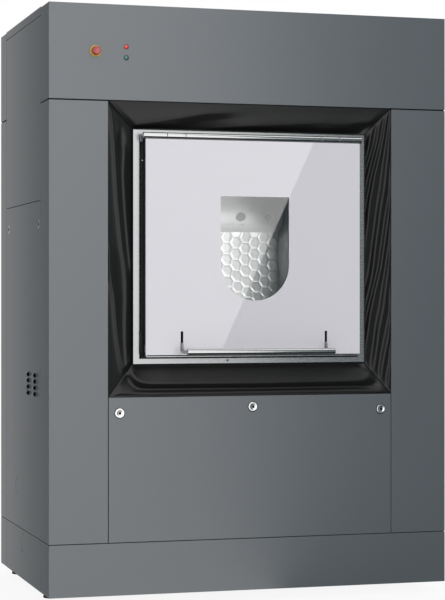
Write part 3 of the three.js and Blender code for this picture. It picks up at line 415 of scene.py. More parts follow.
for name, near_ends, far_ends, light, tint in (
        ("bright_floor_sheet", (card_left, fade_near), (fade_x, card_left), bright, (1, 1, 1)),
        ("dim_floor_sheet", (fade_near, dim_right), (dim_right, fade_x), dim, shade_blue)):
    places = [(x, near_y) for x in near_ends] + [(x, card_plane) for x in far_ends]
    card(name, [(x, y, sheet_lift) for x, y in places], light, steep, tint)
side_low, side_high = -1.5, 4.0
card("side_card", standing(3.6, -7.0, -0.66, side_low, side_high), 0.03)
card("side_strip", standing(0.95, -0.90, -0.67, side_low, side_high), 0.66)
print("diagonal on the card:", [round(v, 2) for v in (edge_low.x, edge_low.z, edge_high.x, edge_high.z)])

# %% [markdown]
# ## Finishes
# Every finish is built from nodes on object coordinates, so a pattern stays fixed to its piece. Paint,
# steel, rubber and glass differ mostly in how rough they are and in the small scale relief that breaks up
# their highlights.

# %% Build a finish
def finish_of(name, color, roughness, grain=None, stretch=(1, 1, 1), metallic=0.0, specular=0.5, ior=1.5):
    """A principled material; grain is a noise's scale, its shares of colour and roughness, and its relief."""
    made = bpy.data.materials.new(name)
    made.use_nodes = True
    shader = made.node_tree.nodes["Principled BSDF"]
    for label, value in (("Base Color", (*color, 1)), ("Roughness", roughness), ("Metallic", metallic),
                         ("Specular IOR Level", specular), ("IOR", ior)):
        shader.inputs[label].default_value = value
    if grain:
        add_grain(made.node_tree, shader, stretch, *grain)
    return made


def add_grain(tree, shader, stretch, scale, color_share, roughness_share, relief):
    """Noise on object coordinates that varies colour and roughness by a share and stands out in metres."""
    place = wired(tree, "ShaderNodeTexCoord")
    mapping = wired(tree, "ShaderNodeMapping", {"Vector": place.outputs["Object"], "Scale": stretch})
    noise = wired(tree, "ShaderNodeTexNoise", {
        "Vector": mapping.outputs["Vector"], "Scale": scale, "Detail": 3.0})
    if color_share:
        color = shader.inputs["Base Color"].default_value[:3]
        low, high = ((*(c * (1 + share) for c in color), 1) for share in (-color_share, color_share))
        mix = wired(tree, "ShaderNodeMix", {"Factor": noise.outputs["Fac"], "A": low, "B": high},
                    data_type="RGBA")
        tree.links.new(mix.outputs["Result"], shader.inputs["Base Color"])
    if roughness_share:
        middle = shader.inputs["Roughness"].default_value
        rough = wired(tree, "ShaderNodeMapRange", {
            "Value": noise.outputs["Fac"], "To Min": middle * (1 - roughness_share),
            "To Max": middle * (1 + roughness_share)})
        tree.links.new(rough.outputs["Result"], shader.inputs["Roughness"])
    if relief:
        bump = wired(tree, "ShaderNodeBump", {"Distance": relief, "Height": noise.outputs["Fac"]})
        tree.links.new(bump.outputs["Normal"], shader.inputs["Normal"])


paint = finish_of("anthracite_paint", (0.072, 0.086, 0.098), 0.33, (620, 0.06, 0.08, 0.00002), specular=1.0)
steel = finish_of("brushed_stainless", (0.33, 0.335, 0.34), 0.27,
                  (30, 0.02, 0.07, 0.0), stretch=(1, 30, 30), metallic=1.0)
polished = finish_of("polished_steel", (0.42, 0.42, 0.42), 0.12,
                     (60, 0.02, 0.15, 0.0), stretch=(1, 8, 8), metallic=1.0)
zinc = finish_of("zinc_plate", (0.35, 0.37, 0.38), 0.45, (45, 0.14, 0.18, 0.00002), metallic=0.8)
rubber = finish_of("bellows_rubber", (0.009, 0.009, 0.009), 0.36, (900, 0.15, 0.06, 0.000006), specular=0.30)
black_rubber = finish_of("moulded_rubber", (0.006, 0.006, 0.007), 0.6,
                         (700, 0.2, 0.1, 0.00002), specular=0.16)
# Black foam; in the seams and behind the handle's slots it stands in for shade: painted shade.
foam_and_shade = finish_of("black_foam_and_shade", (0.006, 0.006, 0.006), 0.9, (900, 0.3, 0.05, 0.00004), specular=0.1)
iron = finish_of("painted_iron", (0.10, 0.11, 0.12), 0.55, (220, 0.15, 0.15, 0.00015))
plastic = finish_of("black_plastic", (0.02, 0.02, 0.022), 0.42, (500, 0.1, 0.1, 0.00002))
print("finishes so far:", len(bpy.data.materials))

# %% [markdown]
# ## Sheet-metal panels
# A cabinet panel is folded sheet, so its edges are never knife sharp: each has a small radius that catches
# a thin line of light. A copy of each solid is welded and its flat triangles are dissolved, and a bevel
# modifier then rolls only the true edges. Weighted normals keep the broad faces flat beside the small
# rolled ones.

# %% Roll the edges of the sheet metal
def rolled_copy(node, finish, width=0.8 * MM):
    """A welded copy of a CAD node with rolled edges, which stands for it."""
    shape = bmesh.new()
    shape.from_mesh(frame["nodes"][node].data)
    bmesh.ops.remove_doubles(shape, verts=shape.verts, dist=0.00001)
    bmesh.ops.dissolve_limit(shape, angle_limit=math.radians(1), verts=shape.verts, edges=shape.edges)
    made = object_from_bmesh(f"{node}_sheet", shape, smooth=True)
    bevel = made.modifiers.new("rolled_edges", "BEVEL")
    bevel.width = width
    bevel.segments = 2
    bevel.limit_method = "ANGLE"
    flat = made.modifiers.new("flat_faces", "WEIGHTED_NORMAL")
    flat.weight = 100
    return hand_over(made, finish, frame["nodes"][node]["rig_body"], [node])


painted = [row["node"] for row in frame["record"]["subparts"] if row["material_slot"] == "anthracite_paint"]
for node in painted:
    rolled_copy(node, paint)
print("panels:", len(painted))

# %% Trim the rims of the doors
# The tray's side faces and its hem's front faces get darker copies of its steel: painted shade.
tray_side_shade = finish_of("tray_side_painted_shade", (0.11, 0.12, 0.14), 0.5, (80, 0.05, 0.1, 0.0), metallic=0.2)
tray_hem_shade = finish_of("tray_hem_painted_shade", (0.075, 0.077, 0.08), 0.5, (80, 0.05, 0.1, 0.0), metallic=0.2)
near = 0.2 * MM
sill_raise, rim_height, rim_drop = 1.3 * MM, 20.5 * MM, 3.0 * MM
hem_raise, hem_fold, hem_sheet, hem_height = 2.0 * MM, 0.8 * MM, 2.0 * MM, 0.02
for end, facing in ends:
    rim = rolled_copy(f"door_frame_{end}", steel, 0.5 * MM)
    sill = min(vertex.co.z for vertex in rim.data.vertices)
    for vertex in rim.data.vertices:
        if vertex.co.z < sill + near:
            vertex.co.z += sill_raise
        elif abs(vertex.co.z - sill - rim_height) < near:
            vertex.co.z -= rim_drop
    tray = rolled_copy(f"door_tray_{end}", steel, 0.4 * MM)
    tray.data.materials.append(tray_side_shade)
    tray.data.materials.append(tray_hem_shade)
    foot = min(vertex.co.z for vertex in tray.data.vertices)
    reach = max(vertex.co.x for vertex in tray.data.vertices if foot + hem_height < vertex.co.z < foot + 0.6)
    for vertex in tray.data.vertices:
        if vertex.co.z < foot + near:
            vertex.co.z += hem_raise
        elif vertex.co.z < foot + hem_sheet + near:
            vertex.co.z += hem_raise + hem_fold
        if abs(abs(vertex.co.x) - reach) < near:
            vertex.co.x *= glass_high.x / reach
    # Faces that lie in shade take the darker copies: painted shade.
    for face in tray.data.polygons:
        if abs(face.normal.x) > 0.9 and abs(face.center.x) > 0.9 * reach:
            face.material_index = 1
        if abs(face.normal.y) > 0.9 and face.center.z < foot + hem_height:
            face.material_index = 2
print("door rims:", len(ends), "and trays:", len(ends))

# %% Give every other node its finish
node_finishes = {
    "bellows_rubber": rubber, "collar_yellow": plastic, "button_red": plastic, "lamp_red": plastic,
    "lamp_green": plastic, "display_glass": plastic, "polished_steel": polished, "stainless": steel,
    "door_glass": plastic, "galvanised_steel": zinc, "foot_rubber": black_rubber, "belt_rubber": black_rubber,
    "cast_iron": iron, "valve_plastic": plastic, "strut_steel": iron,
}
# The drum's shell is darker than the lining, which is the same steel: painted shade on its end walls.
drum_end_shade_finish = finish_of("drum_end_painted_shade", (0.22, 0.22, 0.22), 0.48, (60, 0.06, 0.12, 0.00001), metallic=0.7)
for row in frame["record"]["subparts"]:
    if row["material_slot"] in node_finishes:
        node = frame["nodes"][row["node"]]
        node.data.materials.clear()
        node.data.materials.append(node_finishes[row["material_slot"]])
frame["nodes"]["drum_shell"].data.materials[0] = drum_end_shade_finish
print("nodes dressed")

# %% [markdown]
# ## The door's glass
# The leaf is one pane, printed from edge to edge in a pale grey except for a window with a round foot. A
# printed pane mirrors like glass but lets no light through, so the print and the window are two pieces: the
# print is a plate with a hole of the window's outline, and the window is a clear plate that fills it.

# %% Cut the pane
print_finish = finish_of("printed_glass", (0.726, 0.716, 0.763), 0.008, (260, 0.012, 0.3, 0.0), specular=0.77)
clear_glass = finish_of("clear_glass", (0.93, 0.95, 0.95), 0.0, ior=1.66)
clear_glass.node_tree.nodes["Principled BSDF"].inputs["Transmission Weight"].default_value = 1.0

window_half = 0.1123
window_middle = 0.0020
window_top = 1.2663
window_spring = 1.0536
arch_steps = 48


def arch(half, top, spring):
    """The window's outline: square at the top, a half circle at the foot."""
    foot = [(window_middle + half * math.cos(a), spring + half * math.sin(a))
            for a in np.linspace(math.pi, 2 * math.pi, arch_steps)]
    return [(window_middle + half, top), (window_middle - half, top)] + foot


def grind_rim(pane):
    """Rounds the pane's outer edges as a glass grinder does, and leaves the window's edge sharp."""
    def outer(vertex):
        on_side = abs(abs(vertex.co.x) - glass_high.x) < 0.01 * MM
        on_level = min(abs(vertex.co.z - glass_low.z), abs(vertex.co.z - glass_high.z)) < 0.01 * MM
        return on_side or on_level

    with opened(pane.data) as shape:
        bmesh.ops.dissolve_limit(shape, angle_limit=math.radians(1), verts=shape.verts, edges=shape.edges)
        edges = [e for e in shape.edges
                 if outer(e.verts[0]) and outer(e.verts[1]) and e.calc_face_angle(0) > 1]
        bmesh.ops.bevel(shape, geom=edges, offset=0.6 * MM, segments=2, profile=0.5, affect="EDGES")


slot_x, slot_low, slot_high, slot_half = 0.236, 0.7839, 0.8459, 0.0043
slot_shift, gasket_depth = 0.8 * MM, 12.5 * MM
glass_thick = glass_high.y - glass_low.y
for end, facing in ends:
    rim = rectangle(glass_low.x, glass_high.x, glass_low.z, glass_high.z)
    slots = [rectangle(x - slot_half, x + slot_half, slot_low, slot_high)
             for x in (slot_shift - slot_x, slot_shift + slot_x)]
    pane = upright_plate(f"door_print_{end}", [rim, arch(window_half, window_top, window_spring), *slots],
                         glass_plane, glass_thick, facing)
    grind_rim(pane)
    hand_over(pane, print_finish, f"door_{end}", [f"door_glass_{end}"])
    fit = 0.03 * MM
    clear = upright_plate(f"door_window_{end}", [arch(window_half - fit, window_top - fit, window_spring)],
                          glass_plane, glass_thick, facing)
    hand_over(clear, clear_glass, f"door_{end}")
for end, facing in ends:
    edge = [arch(window_half + 4 * MM, window_top + 3.2 * MM, window_spring),
            arch(window_half + 0.6 * MM, window_top - 0.4 * MM, window_spring)]
    gasket = upright_plate(f"window_gasket_{end}", edge, glass_high.y + 0.2 * MM, gasket_depth, facing)
    hand_over(gasket, black_rubber, f"door_{end}")
print("pane:", [round(v / MM) for v in glass_high - glass_low], "mm")

# %% [markdown]
# ## The drum's lining
# Laundry turns against steel that is embossed into a honeycomb: hexagonal pillows with rows of small holes
# along their edges. Hundreds of pillows by hand would be a mistake, so a Geometry Nodes tree makes them: a
# flat grid of points, each second column half a cell up, is wrapped onto the drum and loses the points at
# the loading port and under the lifters, and one small pillow stands on each point that is left.

# %% Prepare to build trees
drum_low, drum_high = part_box("drum_shell")
drum_axis = (drum_low.z + drum_high.z) / 2
lining_radius = 0.3332
lifter_angles = (-84, 84, 156)
lifter_labels = ("First Lifter", "Second Lifter", "Third Lifter")


class Tree:
    """A Geometry Nodes group under construction: nodes are added by type and wired in one call."""

    def __init__(self, name, inputs):
        self.group = bpy.data.node_groups.new(name, "GeometryNodeTree")
        self.sockets = {}
        for label, kind, value in inputs:
            socket = self.group.interface.new_socket(name=label, in_out="INPUT",
                                                     socket_type=f"NodeSocket{kind}")
            if value is not None:
                socket.default_value = value
            self.sockets[label] = socket.identifier
        self.group.interface.new_socket(name="Geometry", in_out="OUTPUT", socket_type="NodeSocketGeometry")
        self.start = self.group.nodes.new("NodeGroupInput")
        self.stop = self.group.nodes.new("NodeGroupOutput")

    def add(self, kind, wires=None, **settings):
        """Adds a wired node to this group."""
        return wired(self.group, kind, wires, **settings)

    def math(self, operation, a, b=0.0):
        return self.add("ShaderNodeMath", {0: a, 1: b}, operation=operation).outputs[0]

    def given(self, label):
        return self.start.outputs[label]

    def finish(self, geometry):
        """Ends the tree in plain geometry of one material."""
        real = self.add("GeometryNodeRealizeInstances", {"Geometry": geometry}).outputs[0]
        dressed = self.add("GeometryNodeSetMaterial", {"Geometry": real, "Material": self.given("Finish")})
        self.group.links.new(dressed.outputs[0], self.stop.inputs[0])
        return self


def grow(name, tree, values, smooth=True):
    """Runs a tree on an empty mesh and keeps the result as a plain mesh object."""
    maker = mesh_object(f"{name}_maker", [], [])
    modifier = maker.modifiers.new("grow", "NODES")
    modifier.node_group = tree.group
    for label, value in values.items():
        modifier[tree.sockets[label]] = value
    bpy.context.view_layer.update()
    mesh = bpy.data.meshes.new_from_object(maker.evaluated_get(bpy.context.evaluated_depsgraph_get()))
    mesh.name = name
    bpy.data.objects.remove(maker)
    mesh.polygons.foreach_set("use_smooth", [smooth] * len(mesh.polygons))
    return link(bpy.data.objects.new(name, mesh))


print("tools for trees ready")

# %% Wrap a grid onto the drum
wrap = Tree("honeycomb_wrap", [
    ("Piece", "Object", None), ("Finish", "Material", None), ("Columns", "Int", 19), ("Rows", "Int", 52),
    ("First Raised", "Int", 1), *((label, "Float", 0.0) for label in (
        "Column Pitch", "Row Pitch", "Radius", "Axis Height", "Port Half Length", "Port Half Angle",
        "Lifter Half Angle", *lifter_labels)),
])
width = wrap.math("MULTIPLY", wrap.math("SUBTRACT", wrap.given("Columns"), 1.0), wrap.given("Column Pitch"))
height = wrap.math("MULTIPLY", wrap.math("SUBTRACT", wrap.given("Rows"), 1.0), wrap.given("Row Pitch"))
grid = wrap.add("GeometryNodeMeshGrid", {
    "Size X": width, "Size Y": height, "Vertices X": wrap.given("Columns"), "Vertices Y": wrap.given("Rows")})
place = wrap.add("ShaderNodeSeparateXYZ", {0: wrap.add("GeometryNodeInputPosition").outputs[0]})
from_left = wrap.math("ADD", place.outputs["X"], wrap.math("MULTIPLY", width, 0.5))
column = wrap.math("ROUND", wrap.math("DIVIDE", from_left, wrap.given("Column Pitch")))
column = wrap.math("ADD", column, wrap.given("First Raised"))
half_row = wrap.math("MULTIPLY", wrap.given("Row Pitch"), 0.5)
odd = wrap.math("MULTIPLY", wrap.math("MODULO", column, 2.0), half_row)
angle = wrap.math("DIVIDE", wrap.math("ADD", place.outputs["Y"], odd), wrap.given("Radius"))
in_length = wrap.math("LESS_THAN", wrap.math("ABSOLUTE", place.outputs["X"]), wrap.given("Port Half Length"))
in_angle = wrap.math("LESS_THAN", wrap.math("ABSOLUTE", angle), wrap.given("Port Half Angle"))
in_port = wrap.math("MULTIPLY", in_length, in_angle)
gone = in_port
for label in lifter_labels:
    away = wrap.math("ABSOLUTE", wrap.math("SUBTRACT", angle, wrap.given(label)))
    gone = wrap.math("MAXIMUM", gone, wrap.math("LESS_THAN", away, wrap.given("Lifter Half Angle")))
kept = wrap.add("GeometryNodeDeleteGeometry", {"Geometry": grid.outputs["Mesh"], "Selection": gone})
out_y = wrap.math("MULTIPLY", wrap.math("COSINE", angle), wrap.math("MULTIPLY", wrap.given("Radius"), -1.0))
out_z = wrap.math("MULTIPLY", wrap.math("SINE", angle), wrap.given("Radius"))
on_drum = wrap.add("ShaderNodeCombineXYZ", {"X": place.outputs["X"], "Y": out_y,
                                            "Z": wrap.math("ADD", out_z, wrap.given("Axis Height"))})
wrapped = wrap.add("GeometryNodeSetPosition", {"Geometry": kept.outputs[0], "Position": on_drum.outputs[0]})
now = wrap.add("ShaderNodeSeparateXYZ", {0: wrap.add("GeometryNodeInputPosition").outputs[0]})
inward = wrap.add("ShaderNodeCombineXYZ", {
    "Y": wrap.math("MULTIPLY", now.outputs["Y"], -1.0),
    "Z": wrap.math("SUBTRACT", wrap.given("Axis Height"), now.outputs["Z"])})
turn = wrap.add("FunctionNodeAlignRotationToVector", {"Vector": inward.outputs[0]}, axis="Z", pivot_axis="X")
piece = wrap.add("GeometryNodeObjectInfo", {"Object": wrap.given("Piece")})
stand = wrap.add("GeometryNodeInstanceOnPoints", {
    "Points": wrapped.outputs[0], "Instance": piece.outputs["Geometry"], "Rotation": turn.outputs[0]})
wrap.finish(stand.outputs[0])
print("wrapping tree:", len(wrap.group.nodes), "nodes")

# %% Make one pillow and one set of holes
row_count, column_count = 52, 19
row_pitch = 2 * math.pi * lining_radius / row_count
cell_flat = row_pitch / 2
column_pitch = 0.0340
cell_corner = column_pitch / 1.5


def hexagon(share, height, cut=0.0):
    """Eighteen points round a cell: each corner a little cut, and the middle of each side."""
    tips = [Vector((cell_corner * math.cos(math.radians(60 * k)),
                    cell_flat / 0.866 * math.sin(math.radians(60 * k)))) for k in range(6)]
    ring = []
    for k, corner in enumerate(tips):
        back, ahead = tips[k - 1], tips[(k + 1) % 6]
        ring += [corner.lerp(back, cut), corner.lerp(ahead, cut), (corner + ahead) / 2]
    return [(p.x * share, p.y * share, height) for p in ring]


count = 18
pillow_rings = [(0.89, 0.0, 0.02), (0.85, 0.9 * MM, 0.03), (0.77, 1.6 * MM, 0.06), (0.66, 1.9 * MM, 0.12),
                (0.45, 1.8 * MM, 0.22)]
points = [point for share, height, cut in pillow_rings for point in hexagon(share, height, cut)]
points.append((0, 0, 1.6 * MM))
faces = [(count * r + k, count * r + (k + 1) % count, count * (r + 1) + (k + 1) % count, count * (r + 1) + k)
         for r in range(len(pillow_rings) - 1) for k in range(count)]
last = count * (len(pillow_rings) - 1)
faces += [(last + k, last + (k + 1) % count, last + count) for k in range(count)]
pillow = mesh_object("pillow", points, faces)

hole_radius, holes_per_edge, hole_lift = 1.9 * MM, 4, 0.6 * MM
points, faces = [], []
half_cell = [Vector((p[0], p[1], 0)) for p in hexagon(1.0, 0)]
for side in range(3):
    start, stop = half_cell[3 * side], half_cell[3 * ((side + 1) % 6)]
    for k in range(holes_per_edge):
        centre = start.lerp(stop, (k + 0.5) / holes_per_edge)
        faces.append(tuple(range(len(points), len(points) + 6)))
        for a in (math.radians(60 * c) for c in range(6)):
            away = Vector((math.cos(a), math.sin(a), 0)) * hole_radius
            points.append(centre + away + Vector((0, 0, hole_lift)))
holes = mesh_object("holes", points, faces)
print("pillow:", len(pillow.data.polygons), "faces, holes:", len(holes.data.polygons))

# %% Grow the honeycomb
lining_steel = finish_of("drum_steel", (0.60, 0.60, 0.60), 0.46,
                         (90, 0.05, 0.10, 0.0), stretch=(1, 6, 6), metallic=0.6)
lifter_steel = finish_of("lifter_steel", (0.37, 0.37, 0.37), 0.62,
                         (90, 0.04, 0.10, 0.0), stretch=(1, 6, 6), metallic=0.2)
# The sheet behind the pillows is paler than the pillows' steel: painted highlight for the lit lines between
# the cells.
lit_sheet_steel = finish_of("drum_sheet_painted_highlight", (0.82, 0.82, 0.82), 0.6,
                        (90, 0.04, 0.10, 0.0), stretch=(1, 6, 6), metallic=0.3)
hole_dark = finish_of("hole_shadow", (0.008, 0.008, 0.008), 0.7, (400, 0.2, 0.1, 0.0), specular=0.05)
port_degrees, port_margin, port_reach, lifter_cover = 46.5, 0.05, 0.274, 0.060
wrap_values = {
    "Columns": column_count, "Rows": row_count, "Column Pitch": column_pitch, "Row Pitch": row_pitch,
    "Radius": lining_radius, "Axis Height": drum_axis, "Port Half Length": port_reach,
    "Port Half Angle": math.radians(port_degrees) + port_margin,
    "Lifter Half Angle": lifter_cover / lining_radius,
    **{label: math.radians(degrees) for label, degrees in zip(lifter_labels, lifter_angles)},
}
honeycomb = grow("drum_honeycomb", wrap, {**wrap_values, "Piece": pillow, "Finish": lining_steel})
hand_over(honeycomb, None, "drum")
drum_holes = grow("drum_holes", wrap, {**wrap_values, "Piece": holes, "Finish": hole_dark}, smooth=False)
hand_over(drum_holes, None, "drum")
bpy.data.objects.remove(pillow)
bpy.data.objects.remove(holes)
print("honeycomb faces:", len(honeycomb.data.polygons), "hole faces:", len(drum_holes.data.polygons))


# %% Roll the sheet behind the honeycomb
def drum_point(x, degrees, radius):
    """A place in the drum by its distance along the axis and its angle from the front, upwards."""
    a = math.radians(degrees)
    return (x, -radius * math.cos(a), drum_axis + radius * math.sin(a))


port_half = 0.262
lining_half = 0.3255
xs = [-lining_half, -port_half, port_half, lining_half]
step = 3
angles = [port_degrees + step * k for k in range(int((360 - 2 * port_degrees) / step) + 1)]
shape = bmesh.new()
for x0, x1 in zip(xs, xs[1:]):
    spans = list(zip(angles, angles[1:]))
    if x1 < 0 or x0 > 0:
        spans += [(step * k - port_degrees, step * (k + 1) - port_degrees)
                  for k in range(int(2 * port_degrees / step))]
    for a0, a1 in spans:
        corners = [(x0, a0), (x0, a1), (x1, a1), (x1, a0)]
        shape.faces.new([shape.verts.new(drum_point(x, a, lining_radius + 0.5 * MM)) for x, a in corners])
bmesh.ops.remove_doubles(shape, verts=shape.verts, dist=0.00001)
bmesh.ops.recalc_face_normals(shape, faces=shape.faces)
lining = object_from_bmesh("drum_lining", shape, smooth=True)
thick = lining.modifiers.new("sheet", "SOLIDIFY")
thick.thickness = 1.0 * MM
thick.offset = 0
hand_over(lining, lit_sheet_steel, "drum")
print("lining sheet:", len(lining.data.polygons), "faces")

# %% [markdown]
# ## The lifters and the lamp
# Three ribs lift the laundry as the drum turns. On the real drum each is a pressed hump of the same steel,
# riveted on at both feet, with a hole for a spanner. The hump is one curve in section, swept along the
# drum, so a formula gives its height across the rib. A small lamp that the camera doesn't see lights the
# part of the drum that shows through the window.

# %% Press the lifters
hump_half, hump_height, hump_root, hump_reach = 0.068, 0.053, 0.3335, 0.3215
hump_turn = -0.7


def hump_place(degrees, x, w, lift=0.0):
    """A place on a lifter's skin: x along the drum, w across the rib."""
    height = hump_height * (1 - min(1, abs(w) / hump_half) ** 2.6)
    return drum_point(x, degrees + hump_turn + math.degrees(w / hump_root), hump_root - height - lift)


def lifter(number, degrees):
    """One pressed rib, closed at its ends and along the drum's wall."""
    across = [hump_half * math.sin(math.radians(90 * (k / 20 - 1))) for k in range(41)]
    skin = [[hump_place(degrees, x, w) for w in across] for x in (-hump_reach, hump_reach)]
    wall = [[drum_point(x, degrees + hump_turn + math.degrees(w / hump_root), hump_root)
             for w in reversed(across[1:-1])]
            for x in (-hump_reach, hump_reach)]
    loops = [skin[0] + wall[0], skin[1] + wall[1]]
    count = len(loops[0])
    faces = [(k, (k + 1) % count, count + (k + 1) % count, count + k) for k in range(count)]
    faces += [tuple(range(count)), tuple(range(2 * count - 1, count - 1, -1))]
    made = mesh_object(f"drum_lifter_{number}", loops[0] + loops[1], faces, smooth=True)
    clean(made.data)
    return hand_over(sharpen(made, 50), lifter_steel, "drum")


print("a lifter is", round(2 * hump_reach / MM), "mm long")

# %% Mark the holes and rivets of the lifters
def lifter_mark(name, degrees, x, w, long_radius, short_radius, depth):
    """An oval patch that follows a lifter's skin, its floor set back if depth is given, else raised a little;
    its dark finish is painted shade.
    """
    rings = [(1.0, 0.3 * MM), (0.96, 0.7 * MM), *((share / 5, 0.6 * MM) for share in (4, 3, 2, 1, 0))]
    points, faces = [], []
    for share, lift in rings:
        for k in range(24):
            a = 2 * math.pi * k / 24
            points.append(hump_place(degrees, x + long_radius * share * math.cos(a),
                                     w + short_radius * share * math.sin(a), lift if depth else 0.4 * MM))
    for r in range(len(rings) - 1):
        faces += [(24 * r + k, 24 * r + (k + 1) % 24, 24 * r + 24 + (k + 1) % 24, 24 * r + 24 + k)
                  for k in range(24)]
    made = mesh_object(name, points, faces, smooth=True)
    clean(made.data, 0.00001)
    with opened(made.data) as shape:
        face = max(shape.faces, key=lambda f: f.calc_area())
        middle = face.calc_center_median()
        towards = Vector((0, -middle.y, drum_axis - middle.z))
        if face.normal.dot(towards) < 0:
            bmesh.ops.reverse_faces(shape, faces=shape.faces)
    return made


# The holes' grey patches and the black patches of the rivets and dashes are painted shade of recesses in the
# lifters.
recess_shade = finish_of("recess_painted_shade", (0.075, 0.075, 0.075), 0.6, (200, 0.1, 0.1, 0.0), specular=0.2)
lifter_holes = (("spanner", 0.165, 0.0185), ("drain", 0.266, 0.0125), ("left_spanner", -0.165, 0.0185))
hole_across = -0.0107
rivet_rows = ((-0.036, (-0.20, -0.12, -0.04, 0.04, 0.118, 0.202)),
              (0.0225, (-0.16, -0.06, 0.05, 0.131, 0.215)))
weld_places = ((0.173, 0.0223), (-0.10, 0.0223))
for number, degrees in enumerate(lifter_angles, 1):
    lifter(number, degrees)
    for place_name, x, size in lifter_holes:
        hole = lifter_mark(f"lifter_{number}_{place_name}_hole", degrees, x, hole_across, size, size, True)
        hand_over(hole, recess_shade, "drum")
    rivets = []
    for w, spots in rivet_rows:
        for x in spots:
            rivets.append(lifter_mark("rivet", degrees, x, w, 2.4 * MM, 2.0 * MM, False))
    for x, w in weld_places:
        rivets.append(lifter_mark("dash", degrees, x, w, 11 * MM, 1.3 * MM, False))
    joined = bmesh.new()
    for rivet in rivets:
        joined.from_mesh(rivet.data)
        bpy.data.objects.remove(rivet)
    hand_over(object_from_bmesh(f"lifter_{number}_rivets", joined), hole_dark, "drum")
print("lifters:", len(lifter_angles))

# %% Fit the lining's bolts
bolt_profile = [(0, 4.2), (1.8, 3.9), (3.0, 3.1), (3.5, 2.2), (3.7, 1.9), (5.2, 1.7), (5.5, 1.2), (5.5, -0.2),
                (0, -0.2)]
bolt_x, bolt_angles = 0.2248, (132.7, 204.7)
for number, degrees in enumerate(bolt_angles, 1):
    at = drum_point(bolt_x, degrees, lining_radius)
    inwards = Vector((0, -at[1], drum_axis - at[2]))
    bolt = turned(f"lining_bolt_{number}", bolt_profile, at, inwards, 24)
    hand_over(sharpen(bolt), lining_steel, "drum")
print("bolts:", len(bolt_angles))

# %% Light the drum from within
glow = bpy.data.lights.new("drum_lamp", "SPOT")
glow.spot_size = math.radians(94)
glow.spot_blend = 0.36
glow.shadow_soft_size = 0.02
glow.energy = 7.7
drum_lamp = link(bpy.data.objects.new("drum_lamp", glow))
drum_lamp.location = (0.046, -0.08, 1.06)
drum_lamp.rotation_euler = Vector((-0.1685, 0.9857, 0.02)).to_track_quat("-Z", "Y").to_euler()
drum_lamp.visible_camera = False
drum_lamp.visible_transmission = False
print("drum lamp:", glow.energy, "W")

# %% [markdown]
# ## The door's seal and small parts
# The leaf closes against a black rubber ring in the bottom of the frame, which is why the gap round the
# glass looks black. A frame-shaped plate with rounded edges is enough for it, because only its face shows.
# A thin ring clamps the bellows round the frame, the pane rests on a setting strip, and black foam strips
# behind the slots of the handle's arms stand in for the shade inside them: painted shade.

# %% Mould the seal
seal_outer, seal_inner = (0.3560, 0.3468), (0.3458, 0.3280)
seal_front, seal_depth = -0.3965, 0.0155
clamp_front, clamp_depth, clamp_edges = -0.4036, 0.0130, (1.0 * MM, 0.05 * MM)
frame_low, frame_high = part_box("door_frame_front")
frame_x, frame_z0, frame_z1 = frame_high.x, frame_low.z, frame_high.z
seal_black = finish_of("seal_black", (0.010, 0.010, 0.010), 0.6, (500, 0.2, 0.1, 0.00001), specular=0.25)
for end, facing in ends:
    rings = [rectangle(-x, x, drum_axis - z, drum_axis + z) for x, z in (seal_outer, seal_inner)]
    seal = upright_plate(f"door_seal_{end}", rings, seal_front, seal_depth, facing, 1.5 * MM)
    hand_over(seal, seal_black, "tub")
    clamp_rings = [rectangle(-frame_x - edge, frame_x + edge, frame_z0 - edge, frame_z1 + edge)
                   for edge in clamp_edges]
    clamp = upright_plate(f"bellows_clamp_{end}", clamp_rings, clamp_front, clamp_depth, facing)
    hand_over(clamp, seal_black, "tub")
print("seals:", len(ends), "and clamps:", len(ends))

# %% Fit the small parts in the frame
bracket_grey = finish_of("bracket_zinc", (0.16, 0.18, 0.21), 0.4, (120, 0.1, 0.15, 0.0), metallic=0.6)
pad_strips, pad_over = ((-13 * MM, -3.4 * MM), (3.4 * MM, 13 * MM)), 5 * MM
pad_front, pad_depth = -0.4186, 0.0018
bed_edges, bed_front, bed_depth = (-0.3440, 0.3440, 0.7699, 0.7726), -0.4333, 0.0043
stop_edges, stop_front, stop_depth = (-0.3605, -0.3515, 1.4330, 1.4560), -0.4060, 0.0080
keeper_outline = [(-0.3602, 0.7760), (-0.3520, 0.7760), (-0.3520, 0.8330), (-0.3560, 0.8460),
                  (-0.3602, 0.8460)]
keeper_front, keeper_depth = -0.4085, 0.0110
screw_profile = [(0, 2.6), (1.6, 2.4), (2.9, 1.4), (3.2, 0), (3.2, -1), (0, -1)]
screw_place = (-0.3512, -0.3985, 1.3755)
for end, facing in ends:
    for side, sx in sides:
        x = sx * slot_x
        # Black strips behind each slot stand in for the shade inside it: painted shade.
        strips = [rectangle(x + x0, x + x1, slot_low - pad_over, slot_high + pad_over)
                  for x0, x1 in pad_strips]
        pad = upright_plate(f"slot_pad_{side}_{end}", strips, pad_front, pad_depth, facing, 0.4 * MM)
        hand_over(pad, foam_and_shade, f"door_{end}")
    bed = upright_plate(f"glass_bed_{end}", [rectangle(*bed_edges)], bed_front, bed_depth, facing)
    hand_over(bed, foam_and_shade, f"door_{end}")
    stop = upright_plate(f"hinge_stop_{end}", [rectangle(*stop_edges)], stop_front, stop_depth, facing,
                         1.0 * MM)
    hand_over(stop, bracket_grey, "tub")
    keeper = upright_plate(f"latch_keeper_{end}", [keeper_outline], keeper_front, keeper_depth, facing,
                           1.0 * MM)
    hand_over(keeper, seal_black, "tub")
    screw = turned(f"seal_screw_{end}", screw_profile, screw_place, (0, -1, 0), 20)
    to_end(screw.data, facing)
    hand_over(screw, polished, "tub")
print("frame parts:", 6 * len(ends))

# %% [markdown]
# ## The hinge's sleeves
# The hinge is one tube cut into five knuckles. What the eye reads as a hinge is the dark line at each cut,
# so every knuckle gets a polished skin with chamfered ends and a thin nylon washer stands between two of
# them.

